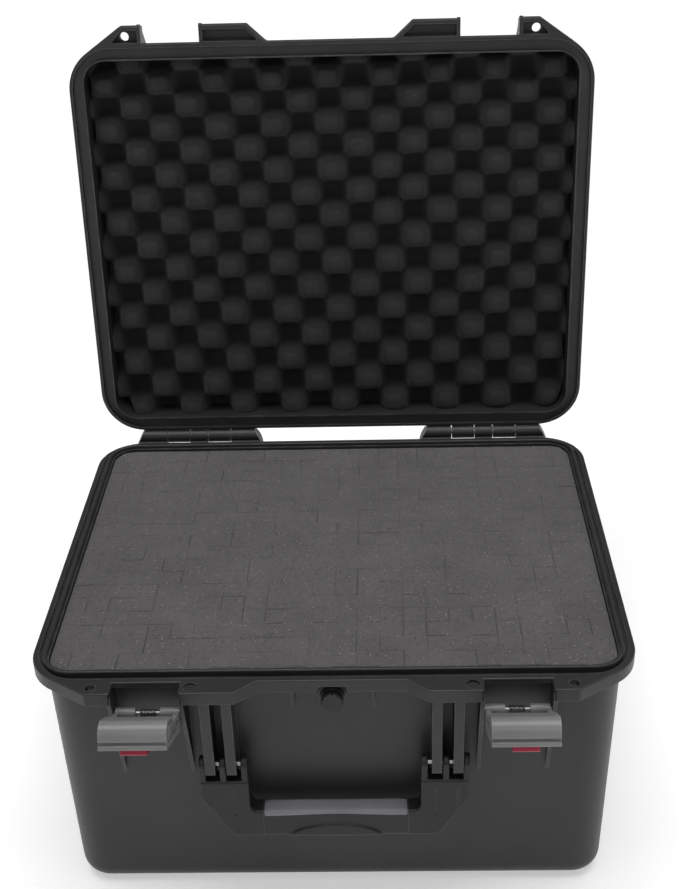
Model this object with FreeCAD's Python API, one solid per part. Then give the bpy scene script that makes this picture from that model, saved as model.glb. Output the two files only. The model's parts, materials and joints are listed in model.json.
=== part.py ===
"""Hard equipment case: a deep moulded base, a hinged lid, two draw latches and a folding handle.

Frame: millimetres, +Z up, the origin at the middle of the base's underside.
-Y is the front, with the latches and the handle, and +Y is the hinge side.
Lid, latches and triggers are modelled shut and then turned to the open rest pose.
"""
import FreeCAD, Part
import math
import os
from FreeCAD import Vector

# ---------------------------------------------------------------- driving dimensions, mm and degrees
# rim and shells
RIM_WIDTH = 465.0          # outside of the rim, left to right
RIM_DEPTH = 368.0          # outside of the rim, front to back
RIM_CORNER = 40.0          # plan radius of the rim
BASE_HEIGHT = 226.0        # underside to parting plane
LID_HEIGHT = 52.0          # parting plane to lid top
PARTING_GAP = 0.4          # between the two rims when shut
WALL = 4.0                 # moulded wall
OVERHANG = 9.5             # rim beyond the wall below it
DRAFT = 1.3                # mould draft of every wall
BODY_CORNER = 30.0         # plan radius of the outer wall
CAVITY_CORNER = 20.0       # plan radius of the inner wall
BASE_EDGE_RADIUS = 18.0    # rounding of the base's underside
LID_EDGE_RADIUS = 14.0     # rounding of the lid's top
FLANGE = 4.5               # thickness of the base rim
SKIRT_DROP = 11.0          # height of the base rim's hanging skirt
SKIRT_WALL = 3.0
LID_RIM_HEIGHT = 9.5
EDGE_EASE = 1.2            # small rounding of moulded edges
MOULD_ROUND = 1.5          # corners of small moulded plates

# seal, as distances in from the rim's outer edge
BASE_GROOVE_START = 4.7
TONGUE_START = 8.8
TONGUE_WIDTH = 3.2
TONGUE_HEIGHT = 3.5
BASE_GROOVE_DEPTH = 2.5
SEAL_CORNER = 26.0         # plan radius of the tongue's outer side
LID_GROOVE_START = 3.0
SEAL_CLEARANCE = 0.3       # tongue to the walls and the gasket of the lid's groove
GASKET_THICKNESS = 2.6
GASKET_SIDE_GAP = 0.1
GASKET_STANDOFF = 0.8      # tongue top to gasket face when shut

# latch tabs on both rims
LATCH_CENTRE = 139.5       # middle of a latch from the case's middle
NOTCH_WIDTH = 51.0         # between the tabs beside a latch
INNER_TAB_WIDTH = 41.3
OUTER_TAB_WIDTH = 19.0
TAB_SLOPE = 16.2           # run of the inner tab's sloped end
BASE_TAB_REACH = 13.4
LID_TAB_REACH = 14.8
TAB_WALL = 3.0
TAB_CORNER = 2.0           # plan radius of a tab beside its latch
LID_TAB_HEIGHT = 13.0
LID_TAB_POCKET = 7.0
LID_TAB_ROOT = 6.0         # how far a lid tab runs back into the rim
TAB_BLEND = 3.0            # plan radius where a tab's slope meets the rim
OUTER_TAB_CORNER = 4.0
POCKET_CORNER = 1.0
PADLOCK_HOLE_RADIUS = 4.0
PADLOCK_HOLE_FROM_NOTCH = 15.5
DIMPLE_RADIUS = 5.2
DIMPLE_DEPTH = 2.2
DIMPLE_FROM_NOTCH = 8.5
FIN_WALL = 3.0             # side walls of a latch bay
FIN_NUB = 2.3              # lid fins beyond the lid tabs
FIN_NUB_LEAN = 1.5         # how much further a lid fin reaches at its top than at its foot
FIN_NUB_HEIGHT = 3.0
BASE_FIN_SETBACK = 0.6     # base fins behind the face of the base tabs
BASE_FIN_LENGTH = 100.0
LID_FIN_LENGTH = 38.0
FIN_CORNER = 2.0

# hinges
HINGE_CENTRE = 140.0       # middle of a hinge from the case's middle
HINGE_SETBACK = 7.6        # axis behind the rim
HINGE_RISE = 3.0           # axis above the base's parting plane
BARREL_RADIUS = 6.5
HINGE_PIN_RADIUS = 2.5
MIDDLE_KNUCKLE = 17.0
LID_KNUCKLE = 21.5
KNUCKLE_GAP = 0.8
INNER_BLOCK = 23.0         # fixed block on the side of the case's middle
OUTER_BLOCK = 22.0
BLOCK_FLARE = 8.0          # how far a block's foot spreads
BLOCK_FOOT_HEIGHT = 7.0    # height of that foot above the skirt's lower edge
WEB_ROUND = 2.0
PIN_END_COVER = 6.0        # plastic beyond each end of a hinge pin
STOP_PAD_BEFORE = 1.0      # stop pad in front of the hinge axis
STOP_PAD_BEHIND = 5.0
STOP_CLEARANCE = 0.3       # open lid to its stop pads
OPEN_ANGLE = 95.2

# latches, drawn shut: "up" is along the latch from its pivot, "out" is away from the case
LATCH_PIVOT_OUT = 12.2     # pivot in front of the base wall
LATCH_PIVOT_DROP = 27.0    # pivot below the parting plane
LATCH_WIDTH = 49.0
LATCH_LENGTH = 68.0
LATCH_FACE_OUT = 13.0      # outer face from the pivot
LATCH_HOOK_IN = 8.0        # hook's inner face from the pivot
LATCH_CATCH_IN = 5.2       # where the hook ends behind its catch
LATCH_CHEEK_IN = 1.5
LATCH_CHEEK = 3.5
LATCH_PLATE = 5.0
LATCH_BARREL_RADIUS = 4.3
LATCH_BARREL_LENGTH = 15.0
LATCH_WEB_HALF = 2.8       # half the height of the web that holds a barrel to the plate
LATCH_PIN_RADIUS = 1.6
HOOK_CLEARANCE = 0.6       # hook above the lid rim when shut
LATCH_OPEN_ANGLE = 61.2
LATCH_END_GROOVE = 3.0
LATCH_END_GROOVE_DEPTH = 1.6
LATCH_END_LIP = 3.2
LATCH_TIP_WALL = 8.0       # solid plastic at the tip, beyond the hollow of the hook
LATCH_HOOK_WALL = 3.5
LATCH_TIP_ROUND = 9.0      # hook's inner corner at the tip, where fingers pull
LATCH_FACE_ROUND = 6.0     # outer face, where it bends over the barrels
LATCH_BEND_UP = 6.0        # where the outer face starts, from the pivot
LATCH_BACK_ROUND = 3.0     # lower corner below that bend
LATCH_BACK_UP = 2.0        # that corner below the pivot
LATCH_SIDE_RECESS = 2.3    # depth of the recess in each side, and of the island left in it

# trigger in each latch
TRIGGER_WIDTH = 19.0
TRIGGER_LENGTH = 27.0
TRIGGER_PROUD = 4.4
TRIGGER_PLATE = 6.9
TRIGGER_LOW_PROUD = 0.6    # lower end of the trigger in front of the latch's face
TRIGGER_BEND = 10.0        # radius of the bend over the pivot
TRIGGER_EASE = 0.5
TRIGGER_GAP = 0.9
TRIGGER_FROM_TIP = 4.0
TRIGGER_PIN_RADIUS = 1.2
TRIGGER_EAR = 4.0
TRIGGER_EAR_RADIUS = 2.5
TRIGGER_EAR_SINK = 0.3     # how far an ear's round runs into its plate
TRIGGER_PIN_HOLD = 3.0     # trigger pin beyond each side of its trigger
TRIGGER_POCKET_FLOOR = 4.0
TRIGGER_FLOOR_WALL = 2.5

# springs, drawn as tubes of their outer size
SPRING_WIRE = 1.1
SPRING_CLEARANCE = 0.3
LATCH_SPRING_LENGTH = 13.0
TRIGGER_SPRING_LENGTH = 10.0

# handle, hanging
HANDLE_PIVOT_OUT = 16.5    # pivot in front of the base wall
HANDLE_PIVOT_DROP = 76.0   # pivot below the parting plane
HANDLE_WIDTH = 209.0
HANDLE_THICKNESS = 15.0
ARM_WIDTH = 38.0
HANDLE_DROP = 70.0         # pivot to the handle's lower edge
GRIP_HEIGHT = 26.0
CORNER_CUT_X = 24.0
CORNER_CUT_Z = 38.0
CORNER_CUT_ROUND = 8.0
SHOULDER_ROUND = 2.0
ELBOW_ROUND = 6.0          # inner corner between arm and bar
HANDLE_PIN_RADIUS = 2.0
HANDLE_PIN_SETBACK = 1.0   # pin ends inside the outer knuckles
RIB_WIDTH = 7.6
RIB_CENTRES = (79.0, 95.5)
RIB_BEYOND_PIVOT = 7.0     # rib in front of the pivot
RIB_FOOT = 9.0             # rib below the pivot
RIB_HEEL = 1.5             # rib behind the handle's rear face
RIB_TOE_ROUND = 5.0
RIB_HEEL_ROUND = 3.0
RIB_ROOT_DROP = 16.0       # height over which a rib's foot runs back into the wall
KNUCKLE_WIDTH = 5.2
KNUCKLE_EASE = 1.3
KNUCKLE_SETBACK = 1.0      # knuckle behind the handle's front and rear faces
HANDLE_EASE = 2.0
ARM_GROOVE_WIDTH = 1.6
ARM_GROOVE_DEPTH = 0.6
ARM_GROOVE_LOW = 4.0       # groove's lower end below the bar's top
ARM_GROOVE_HIGH = 6.0      # groove's upper end below the shoulder
KNUCKLE_CENTRES = (69.5, 86.1, 102.0)
SLOT_DEPTH = 13.0          # slots in the arms, below the pivot
GRIP_LENGTH = 114.0
GRIP_THICKNESS = 17.0
GRIP_CORE_THICKNESS = 10.0
GRIP_CORE_HEIGHT = 17.0
GRIP_CORE_ROUND = 3.0
GRIP_ROUND = 8.0

# purge valve
VALVE_DROP = 20.5          # valve below the parting plane
VALVE_BOSS_RADIUS = 10.5
VALVE_BOSS_PROUD = 1.5
VALVE_INNER_BOSS = 1.5
VALVE_SHANK_RADIUS = 5.5
VALVE_FLANGE_RADIUS = 9.2
VALVE_FLANGE = 3.8
VALVE_STUB_RADIUS = 3.6
VALVE_STUB_LENGTH = 4.6
VALVE_KNOB_RADIUS = 8.3
VALVE_KNOB_GAP = 0.4
VALVE_KNOB_CAP = 2.0
VALVE_FLUTE_COUNT = 12
VALVE_FLUTE_RADIUS = 0.9
VALVE_NUT_FLATS = 17.0
VALVE_NUT = 5.5
VALVE_TAIL = 1.0           # shank beyond the nut
VALVE_BORE_RADIUS = 2.6
ORING_RADIUS = 7.2
ORING_WIRE = 1.1           # radius of the ring's round section
MEMBRANE = 0.6
SKIRT_NOTCH_WIDTH = 24.0
SKIRT_NOTCH_HEIGHT = 5.0
GUSSET_CENTRE = 30.5
GUSSET_WIDTH = 2.5
GUSSET_HEIGHT = 36.0       # parting plane to the gusset's lower end

# foam
FOAM_CLEARANCE = 0.6
FOAM_BELOW_PARTING = 1.0
FLOOR_PAD = 12.0
LID_FOAM_RECESS = 8.0      # lid foam peaks behind the parting plane
FOAM_RELIEF = 3.0          # foam cut back round the valve's nut

# fits
RUNNING = 0.05             # radial clearance of a pin that turns in its bore
BREAK_THROUGH = 1.0        # how far a cutting shape runs past the face it opens
SMALLEST_CORNER = 1.0      # a drafted block keeps at least this corner radius

# ---------------------------------------------------------------- places worked out from the above
HALF_WIDTH = RIM_WIDTH / 2
HALF_DEPTH = RIM_DEPTH / 2
LID_PLANE = BASE_HEIGHT + PARTING_GAP
LID_TOP = LID_PLANE + LID_HEIGHT
LEAN = math.tan(math.radians(DRAFT))
CAVITY_INSET = OVERHANG + WALL
HINGE_Y = HALF_DEPTH + HINGE_SETBACK
HINGE_Z = BASE_HEIGHT + HINGE_RISE
NOTCH_IN = LATCH_CENTRE - NOTCH_WIDTH / 2
NOTCH_OUT = LATCH_CENTRE + NOTCH_WIDTH / 2
BASE_WALL_FRONT = -(HALF_DEPTH - OVERHANG)
LATCH_Y = BASE_WALL_FRONT - LATCH_PIVOT_OUT
LATCH_Z = BASE_HEIGHT - LATCH_PIVOT_DROP
HANDLE_Y = BASE_WALL_FRONT + HANDLE_PIVOT_DROP * LEAN - HANDLE_PIVOT_OUT
HANDLE_Z = BASE_HEIGHT - HANDLE_PIVOT_DROP
PADLOCK_X = NOTCH_OUT + PADLOCK_HOLE_FROM_NOTCH
PADLOCK_Y = -HALF_DEPTH - (BASE_TAB_REACH - TAB_WALL / 2) / 2   # middle of the tab's pocket
VALVE_FACE = BASE_WALL_FRONT - VALVE_BOSS_PROUD
VALVE_HEIGHT = BASE_HEIGHT - VALVE_DROP
VALVE_INNER_FACE = BASE_WALL_FRONT + WALL + VALVE_INNER_BOSS + VALVE_DROP * LEAN
TRIGGER_TOP = LATCH_LENGTH - TRIGGER_FROM_TIP
TRIGGER_PIVOT_UP = TRIGGER_TOP - TRIGGER_LENGTH / 2
TRIGGER_INNER_FACE = LATCH_FACE_OUT + TRIGGER_PROUD - TRIGGER_PLATE
TRIGGER_PIVOT_OUT = TRIGGER_INNER_FACE - TRIGGER_EAR_RADIUS + TRIGGER_EAR_SINK

TURN_YZ = FreeCAD.Rotation(Vector(0, 1, 0), Vector(0, 0, 1), Vector(1, 0, 0), "XYZ")
TURN_XZ = FreeCAD.Rotation(Vector(1, 0, 0), Vector(0, 0, 1), Vector(0, -1, 0), "XYZ")


# ---------------------------------------------------------------- shapes from outlines
def outline(corners):
    """Closed flat wire through corners (a, b, radius), each turned as an arc of its own radius."""
    spans = []
    for index, (a, b, radius) in enumerate(corners):
        here = Vector(a, b, 0)
        before = corners[index - 1]
        after = corners[(index + 1) % len(corners)]
        back = (Vector(before[0], before[1], 0) - here).normalize()
        ahead = (Vector(after[0], after[1], 0) - here).normalize()
        half = back.getAngle(ahead) / 2
        middle = (back + ahead).normalize() if radius else Vector(0, 0, 0)
        reach = radius / math.tan(half) if radius else 0.0
        crown = here + middle * (radius / math.sin(half) - radius) if radius else here
        spans.append((here + back * reach, crown, here + ahead * reach))
    edges = []
    for index, (start, crown, end) in enumerate(spans):
        if (end - start).Length > 1e-6:
            edges.append(Part.Arc(start, crown, end).toShape())
        following = spans[(index + 1) % len(spans)][0]
        if (following - end).Length > 1e-6:
            edges.append(Part.makeLine(end, following))
    return Part.Wire(edges)


def prism_z(corners, low, high):
    """Solid of an (x, y) outline between two heights."""
    solid = Part.Face(outline(corners)).extrude(Vector(0, 0, high - low))
    solid.translate(Vector(0, 0, low))
    return solid


def prism_x(corners, low, high):
    """Solid of a (y, z) outline between two x values."""
    solid = Part.Face(outline(corners)).extrude(Vector(0, 0, high - low))
    solid.Placement = FreeCAD.Placement(Vector(low, 0, 0), TURN_YZ)
    return solid


def prism_y(corners, low, high):
    """Solid of an (x, z) outline between two y values."""
    solid = Part.Face(outline(corners)).extrude(Vector(0, 0, high - low))
    solid.Placement = FreeCAD.Placement(Vector(0, high, 0), TURN_XZ)
    return solid


def rectangle(low_a, high_a, low_b, high_b, radius=0.0):
    """Corners of a rectangle, all with one radius."""
    return [(low_a, low_b, radius), (high_a, low_b, radius),
            (high_a, high_b, radius), (low_a, high_b, radius)]


def box(x, y, z):
    """Plain block between pairs of limits."""
    return Part.makeBox(x[1] - x[0], y[1] - y[0], z[1] - z[0], Vector(x[0], y[0], z[0]))


def rod_x(radius, low, high, y, z):
    """Round bar along X."""
    return Part.makeCylinder(radius, high - low, Vector(low, y, z), Vector(1, 0, 0))


def rod_y(radius, low, high, x, z):
    """Round bar along Y."""
    return Part.makeCylinder(radius, high - low, Vector(x, low, z), Vector(0, 1, 0))


def tube_x(inner, outer, low, high, y, z):
    """Hollow round bar along X."""
    return rod_x(outer, low, high, y, z).cut(rod_x(inner, low, high, y, z))


def mirrored(solid):
    """The same piece on the other side of the case's middle plane."""
    return solid.mirror(Vector(0, 0, 0), Vector(1, 0, 0))


def both_sides(solids):
    """Each solid and its mirror image."""
    return solids + [mirrored(solid) for solid in solids]


def joined(solids):
    """One solid out of several that touch or overlap."""
    return solids[0].fuse(solids[1:]).removeSplitter()


def rim_corners(inset, corner):
    """Rounded rectangle that stands inside the rim's outer edge by inset."""
    half_x = HALF_WIDTH - inset
    half_y = HALF_DEPTH - inset
    return rectangle(-half_x, half_x, -half_y, half_y, corner)


def rim_ring(outer_inset, inner_inset, outer_corner, low, high):
    """Ring that runs round the rim between two insets."""
    inner_corner = outer_corner - (inner_inset - outer_inset)
    outer = prism_z(rim_corners(outer_inset, outer_corner), low, high)
    return outer.cut(prism_z(rim_corners(inner_inset, inner_corner), low, high))


def drafted_block(inset, corner, wide_z, narrow_z, plane_z):
    """Block whose walls lean in from wide_z to narrow_z, with its inset given at plane_z."""
    wires = []
    for z in (wide_z, narrow_z):
        lean = abs(z - plane_z) * LEAN
        wire = outline(rim_corners(inset + lean, max(corner - lean, SMALLEST_CORNER)))
        wire.translate(Vector(0, 0, z))
        wires.append(wire)
    return Part.makeLoft(wires, True, True)


def round_level(solid, z, radius):
    """Round every edge of a solid that lies in the plane at height z."""
    edges = [edge for edge in solid.Edges if all(abs(v.Z - z) < 1e-4 for v in edge.Vertexes)]
    return solid.makeFillet(radius, edges)


# ---------------------------------------------------------------- rim outlines with latch tabs
def tabbed_rim(reach):
    """Rim outline with two tabs beside each latch; the outer tab runs tangent into the corner."""
    front = -HALF_DEPTH
    tab_front = front - reach
    tab_end = NOTCH_OUT + OUTER_TAB_WIDTH
    centre_x = HALF_WIDTH - RIM_CORNER
    centre_y = front + RIM_CORNER
    span = math.hypot(tab_end - centre_x, tab_front - centre_y)
    bearing = math.atan2(tab_front - centre_y, tab_end - centre_x)
    touch = bearing + math.acos(RIM_CORNER / span)
    touch_x = centre_x + RIM_CORNER * math.cos(touch)
    touch_y = centre_y + RIM_CORNER * math.sin(touch)
    slope = (touch_y - tab_front) / (touch_x - tab_end)
    side_y = tab_front + (HALF_WIDTH - tab_end) * slope
    right = [
        (NOTCH_IN - INNER_TAB_WIDTH - TAB_SLOPE, front, TAB_BLEND),
        (NOTCH_IN - INNER_TAB_WIDTH, tab_front, TAB_BLEND),
        (NOTCH_IN, tab_front, TAB_CORNER),
        (NOTCH_IN, front, 0.0),
        (NOTCH_OUT, front, 0.0),
        (NOTCH_OUT, tab_front, TAB_CORNER),
        (tab_end, tab_front, OUTER_TAB_CORNER),
        (HALF_WIDTH, side_y, RIM_CORNER),
    ]
    left = [(-x, y, radius) for x, y, radius in reversed(right)]
    rear = [(HALF_WIDTH, HALF_DEPTH, RIM_CORNER), (-HALF_WIDTH, HALF_DEPTH, RIM_CORNER)]
    return right + rear + left


def outer_tab_pocket(reach, low, high):
    """Hollow in the outer tab beside the right-hand latch, inside walls of one thickness."""
    tab_front = -HALF_DEPTH - reach + TAB_WALL
    tab_back = -HALF_DEPTH - TAB_WALL / 2
    tab_end = NOTCH_OUT + OUTER_TAB_WIDTH
    corners = [
        (NOTCH_OUT + TAB_WALL, tab_back, POCKET_CORNER),
        (NOTCH_OUT + TAB_WALL, tab_front, POCKET_CORNER),
        (tab_end - TAB_WALL / 2, tab_front, POCKET_CORNER),
        (tab_end + reach / 2, tab_back, POCKET_CORNER),
    ]
    return prism_z(corners, low, high)


def inner_tab_pocket(reach, back, low, high):
    """Hollow in the inner tab beside the right-hand latch, one wall in from its sloped end."""
    tab_front = -HALF_DEPTH - reach + TAB_WALL
    wall_along_x = TAB_WALL * math.hypot(TAB_SLOPE, reach) / reach
    slope_start = NOTCH_IN - INNER_TAB_WIDTH + wall_along_x

    def slope_x(y):
        return slope_start - TAB_SLOPE * (y + HALF_DEPTH + reach) / reach

    corners = [
        (NOTCH_IN - TAB_WALL, back, POCKET_CORNER),
        (NOTCH_IN - TAB_WALL, tab_front, POCKET_CORNER),
        (slope_x(tab_front), tab_front, POCKET_CORNER),
        (slope_x(back), back, POCKET_CORNER),
    ]
    return prism_z(corners, low, high)


def latch_fins(front_low, front_high, z_near, z_far, z_taper):
    """Pair of side walls beside one latch: full reach from z_near to z_taper, gone at z_far."""
    wall_near = BASE_WALL_FRONT + abs(z_far - z_near) * LEAN
    wall_far = wall_near + WALL / 2
    profile = [(wall_far, z_near, 0.0), (front_low, z_near, 0.0), (front_high, z_taper, FIN_CORNER),
               (wall_near, z_far, 0.0), (wall_far, z_far, 0.0)]
    spans = ((NOTCH_IN - FIN_WALL, NOTCH_IN), (NOTCH_OUT, NOTCH_OUT + FIN_WALL))
    return [prism_x(profile, low, high) for low, high in spans]


# ---------------------------------------------------------------- hinge knuckles
def hinge_spans():
    """X limits of one hinge: the two fixed blocks, the fixed middle knuckle, the two lid knuckles."""
    middle = (HINGE_CENTRE - MIDDLE_KNUCKLE / 2, HINGE_CENTRE + MIDDLE_KNUCKLE / 2)
    lid_in = (middle[0] - KNUCKLE_GAP - LID_KNUCKLE, middle[0] - KNUCKLE_GAP)
    lid_out = (middle[1] + KNUCKLE_GAP, middle[1] + KNUCKLE_GAP + LID_KNUCKLE)
    inner = (lid_in[0] - KNUCKLE_GAP - INNER_BLOCK, lid_in[0] - KNUCKLE_GAP)
    outer = (lid_out[1] + KNUCKLE_GAP, lid_out[1] + KNUCKLE_GAP + OUTER_BLOCK)
    return {"inner": inner, "outer": outer, "middle": middle, "lid": (lid_in, lid_out)}


def hinge_pin_span():
    """X limits of a hinge pin."""
    spans = hinge_spans()
    return spans["inner"][0] + PIN_END_COVER, spans["outer"][1] - PIN_END_COVER


def base_knuckle(low, high):
    """Barrel on the base with a web that runs down into the rim."""
    foot = BASE_HEIGHT - SKIRT_DROP
    root = HALF_DEPTH - SKIRT_WALL
    rear = HINGE_Y + BARREL_RADIUS
    top = BASE_HEIGHT - EDGE_EASE
    web = prism_x([(root, foot, 0.0), (HALF_DEPTH + EDGE_EASE, foot, 0.0),
                   (rear, HINGE_Z - WEB_ROUND, WEB_ROUND), (rear, HINGE_Z, 0.0),
                   (HINGE_Y, HINGE_Z, 0.0), (HALF_DEPTH, top, 0.0), (root, top, 0.0)], low, high)
    return web.fuse(rod_x(BARREL_RADIUS, low, high, HINGE_Y, HINGE_Z))


def hinge_block(low, high, flare_low, flare_high):
    """Fixed end block: a base knuckle with a stop pad on top and a spread foot."""
    wide = base_knuckle(low - flare_low, high + flare_high)
    pad_top = HINGE_Z + HINGE_SETBACK - STOP_CLEARANCE - PARTING_GAP
    pad = box((low - flare_low, high + flare_high),
              (HINGE_Y - STOP_PAD_BEFORE, HINGE_Y + STOP_PAD_BEHIND), (HINGE_Z, pad_top))
    foot = BASE_HEIGHT - SKIRT_DROP
    shoulder = foot + BLOCK_FOOT_HEIGHT
    crown = pad_top + BREAK_THROUGH
    plan = prism_y([(low - flare_low, foot, 0.0), (high + flare_high, foot, 0.0),
                    (high + flare_high, shoulder, 0.0), (high, crown, WEB_ROUND),
                    (low, crown, WEB_ROUND), (low - flare_low, shoulder, 0.0)],
                   HALF_DEPTH - 2 * SKIRT_WALL, HINGE_Y + 2 * BARREL_RADIUS)
    return wide.fuse(pad).common(plan)


def lid_knuckle(low, high):
    """Barrel on the lid with a web that runs up into the lid's rim."""
    top = LID_PLANE + LID_RIM_HEIGHT
    root = HALF_DEPTH - LID_GROOVE_START
    rear = HINGE_Y + BARREL_RADIUS
    foot = LID_PLANE + EDGE_EASE
    web = prism_x([(root, foot, 0.0), (HALF_DEPTH, foot, 0.0), (HINGE_Y, HINGE_Z, 0.0), (rear, HINGE_Z, 0.0),
                   (rear, HINGE_Z + WEB_ROUND, WEB_ROUND), (HALF_DEPTH, top, EDGE_EASE), (root, top, 0.0)],
                  low, high)
    return web.fuse(rod_x(BARREL_RADIUS, low, high, HINGE_Y, HINGE_Z))


# ---------------------------------------------------------------- base
def handle_rib(centre):
    """Upright rib under the rim that carries the handle's pin."""
    front = HANDLE_Y - RIB_BEYOND_PIVOT
    foot = HANDLE_Z - RIB_FOOT
    root = BASE_WALL_FRONT + 2 * WALL
    low = foot - RIB_ROOT_DROP
    heel = HANDLE_Y + HANDLE_THICKNESS / 2 + RIB_HEEL
    profile = [(root, BASE_HEIGHT - FLANGE, 0.0), (front, BASE_HEIGHT - FLANGE, 0.0),
               (front, foot, RIB_TOE_ROUND), (heel, foot, RIB_HEEL_ROUND),
               (BASE_WALL_FRONT + WALL, low, 0.0), (root, low, 0.0)]
    return prism_x(profile, centre - RIB_WIDTH / 2, centre + RIB_WIDTH / 2)


def base_shell():
    """Deep tray with its rim, tongue, latch bays, handle ribs, hinge knuckles and valve boss."""
    rim_low = BASE_HEIGHT - SKIRT_DROP
    body = drafted_block(OVERHANG, BODY_CORNER, BASE_HEIGHT, 0.0, BASE_HEIGHT)
    body = round_level(body, 0.0, BASE_EDGE_RADIUS)

    rim = round_level(prism_z(tabbed_rim(BASE_TAB_REACH), rim_low, BASE_HEIGHT), BASE_HEIGHT, EDGE_EASE)
    hollow = prism_z(rim_corners(SKIRT_WALL, RIM_CORNER - SKIRT_WALL), rim_low, BASE_HEIGHT - FLANGE)
    tab_back = -HALF_DEPTH + SKIRT_WALL
    under = (rim_low, BASE_HEIGHT - FLANGE)
    pockets = [
        inner_tab_pocket(BASE_TAB_REACH, tab_back, *under),
        outer_tab_pocket(BASE_TAB_REACH, *under),
        box((NOTCH_IN, NOTCH_OUT), (-HALF_DEPTH, tab_back), under),
    ]
    valve_notch = box((-SKIRT_NOTCH_WIDTH / 2, SKIRT_NOTCH_WIDTH / 2), (-HALF_DEPTH, tab_back),
                      (rim_low, rim_low + SKIRT_NOTCH_HEIGHT))
    groove = rim_ring(BASE_GROOVE_START, TONGUE_START, RIM_CORNER - BASE_GROOVE_START,
                      BASE_HEIGHT - BASE_GROOVE_DEPTH, BASE_HEIGHT)
    rim = rim.cut([hollow, groove, valve_notch] + both_sides(pockets))
    tongue = rim_ring(TONGUE_START, TONGUE_START + TONGUE_WIDTH, SEAL_CORNER,
                      BASE_HEIGHT - FLANGE, BASE_HEIGHT + TONGUE_HEIGHT)
    tongue = round_level(tongue, BASE_HEIGHT + TONGUE_HEIGHT, EDGE_EASE)

    fin_front = -HALF_DEPTH - BASE_TAB_REACH + BASE_FIN_SETBACK
    fins = latch_fins(fin_front, fin_front, BASE_HEIGHT - FLANGE,
                      BASE_HEIGHT - BASE_FIN_LENGTH, rim_low)
    ribs = [handle_rib(centre) for centre in RIB_CENTRES]
    gusset_low = BASE_HEIGHT - GUSSET_HEIGHT
    gusset_root = BASE_WALL_FRONT + GUSSET_HEIGHT * LEAN
    gusset_front = -HALF_DEPTH + SKIRT_WALL / 2
    gusset = prism_x([(gusset_root + WALL / 2, BASE_HEIGHT - FLANGE, 0.0),
                      (gusset_front, BASE_HEIGHT - FLANGE, 0.0), (gusset_front, rim_low, 0.0),
                      (gusset_root, gusset_low, 0.0), (gusset_root + WALL / 2, gusset_low, 0.0)],
                     GUSSET_CENTRE - GUSSET_WIDTH / 2, GUSSET_CENTRE + GUSSET_WIDTH / 2)
    spans = hinge_spans()
    knuckles = [
        base_knuckle(*spans["middle"]),
        hinge_block(*spans["inner"], BLOCK_FLARE, 0.0),
        hinge_block(*spans["outer"], 0.0, BLOCK_FLARE),
    ]
    boss = rod_y(VALVE_BOSS_RADIUS, VALVE_FACE, BASE_WALL_FRONT + WALL, 0.0, VALVE_HEIGHT)
    shell = joined([body, rim, tongue, boss] + both_sides(fins + ribs + [gusset] + knuckles))

    cavity = drafted_block(CAVITY_INSET, CAVITY_CORNER, BASE_HEIGHT, WALL, BASE_HEIGHT)
    cavity = round_level(cavity, WALL, BASE_EDGE_RADIUS - WALL)
    mouth = prism_z(rim_corners(CAVITY_INSET, CAVITY_CORNER), BASE_HEIGHT,
                    BASE_HEIGHT + TONGUE_HEIGHT + BREAK_THROUGH)
    inner_boss = rod_y(VALVE_BOSS_RADIUS, BASE_WALL_FRONT + WALL / 2, VALVE_INNER_FACE, 0.0, VALVE_HEIGHT)
    shell = shell.cut([cavity, mouth]).fuse(inner_boss).removeSplitter()

    valve_hole = rod_y(VALVE_SHANK_RADIUS + RUNNING, VALVE_FACE - BREAK_THROUGH,
                       VALVE_INNER_FACE + BREAK_THROUGH, 0.0, VALVE_HEIGHT)
    padlock = Part.makeCylinder(PADLOCK_HOLE_RADIUS, SKIRT_DROP + 2 * BREAK_THROUGH,
                                Vector(PADLOCK_X, PADLOCK_Y, rim_low - BREAK_THROUGH))
    dimple = Part.makeCylinder(DIMPLE_RADIUS, DIMPLE_DEPTH,
                               Vector(NOTCH_IN - DIMPLE_FROM_NOTCH, PADLOCK_Y, BASE_HEIGHT - DIMPLE_DEPTH))
    latch_bore = rod_x(LATCH_PIN_RADIUS, NOTCH_IN - FIN_WALL, NOTCH_OUT + FIN_WALL, LATCH_Y, LATCH_Z)
    handle_bore = rod_x(HANDLE_PIN_RADIUS, *handle_pin_span(), HANDLE_Y, HANDLE_Z)
    hinge_bore = rod_x(HINGE_PIN_RADIUS, *hinge_pin_span(), HINGE_Y, HINGE_Z)
    return shell.cut([valve_hole] + both_sides([padlock, dimple, latch_bore, handle_bore, hinge_bore]))


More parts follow.
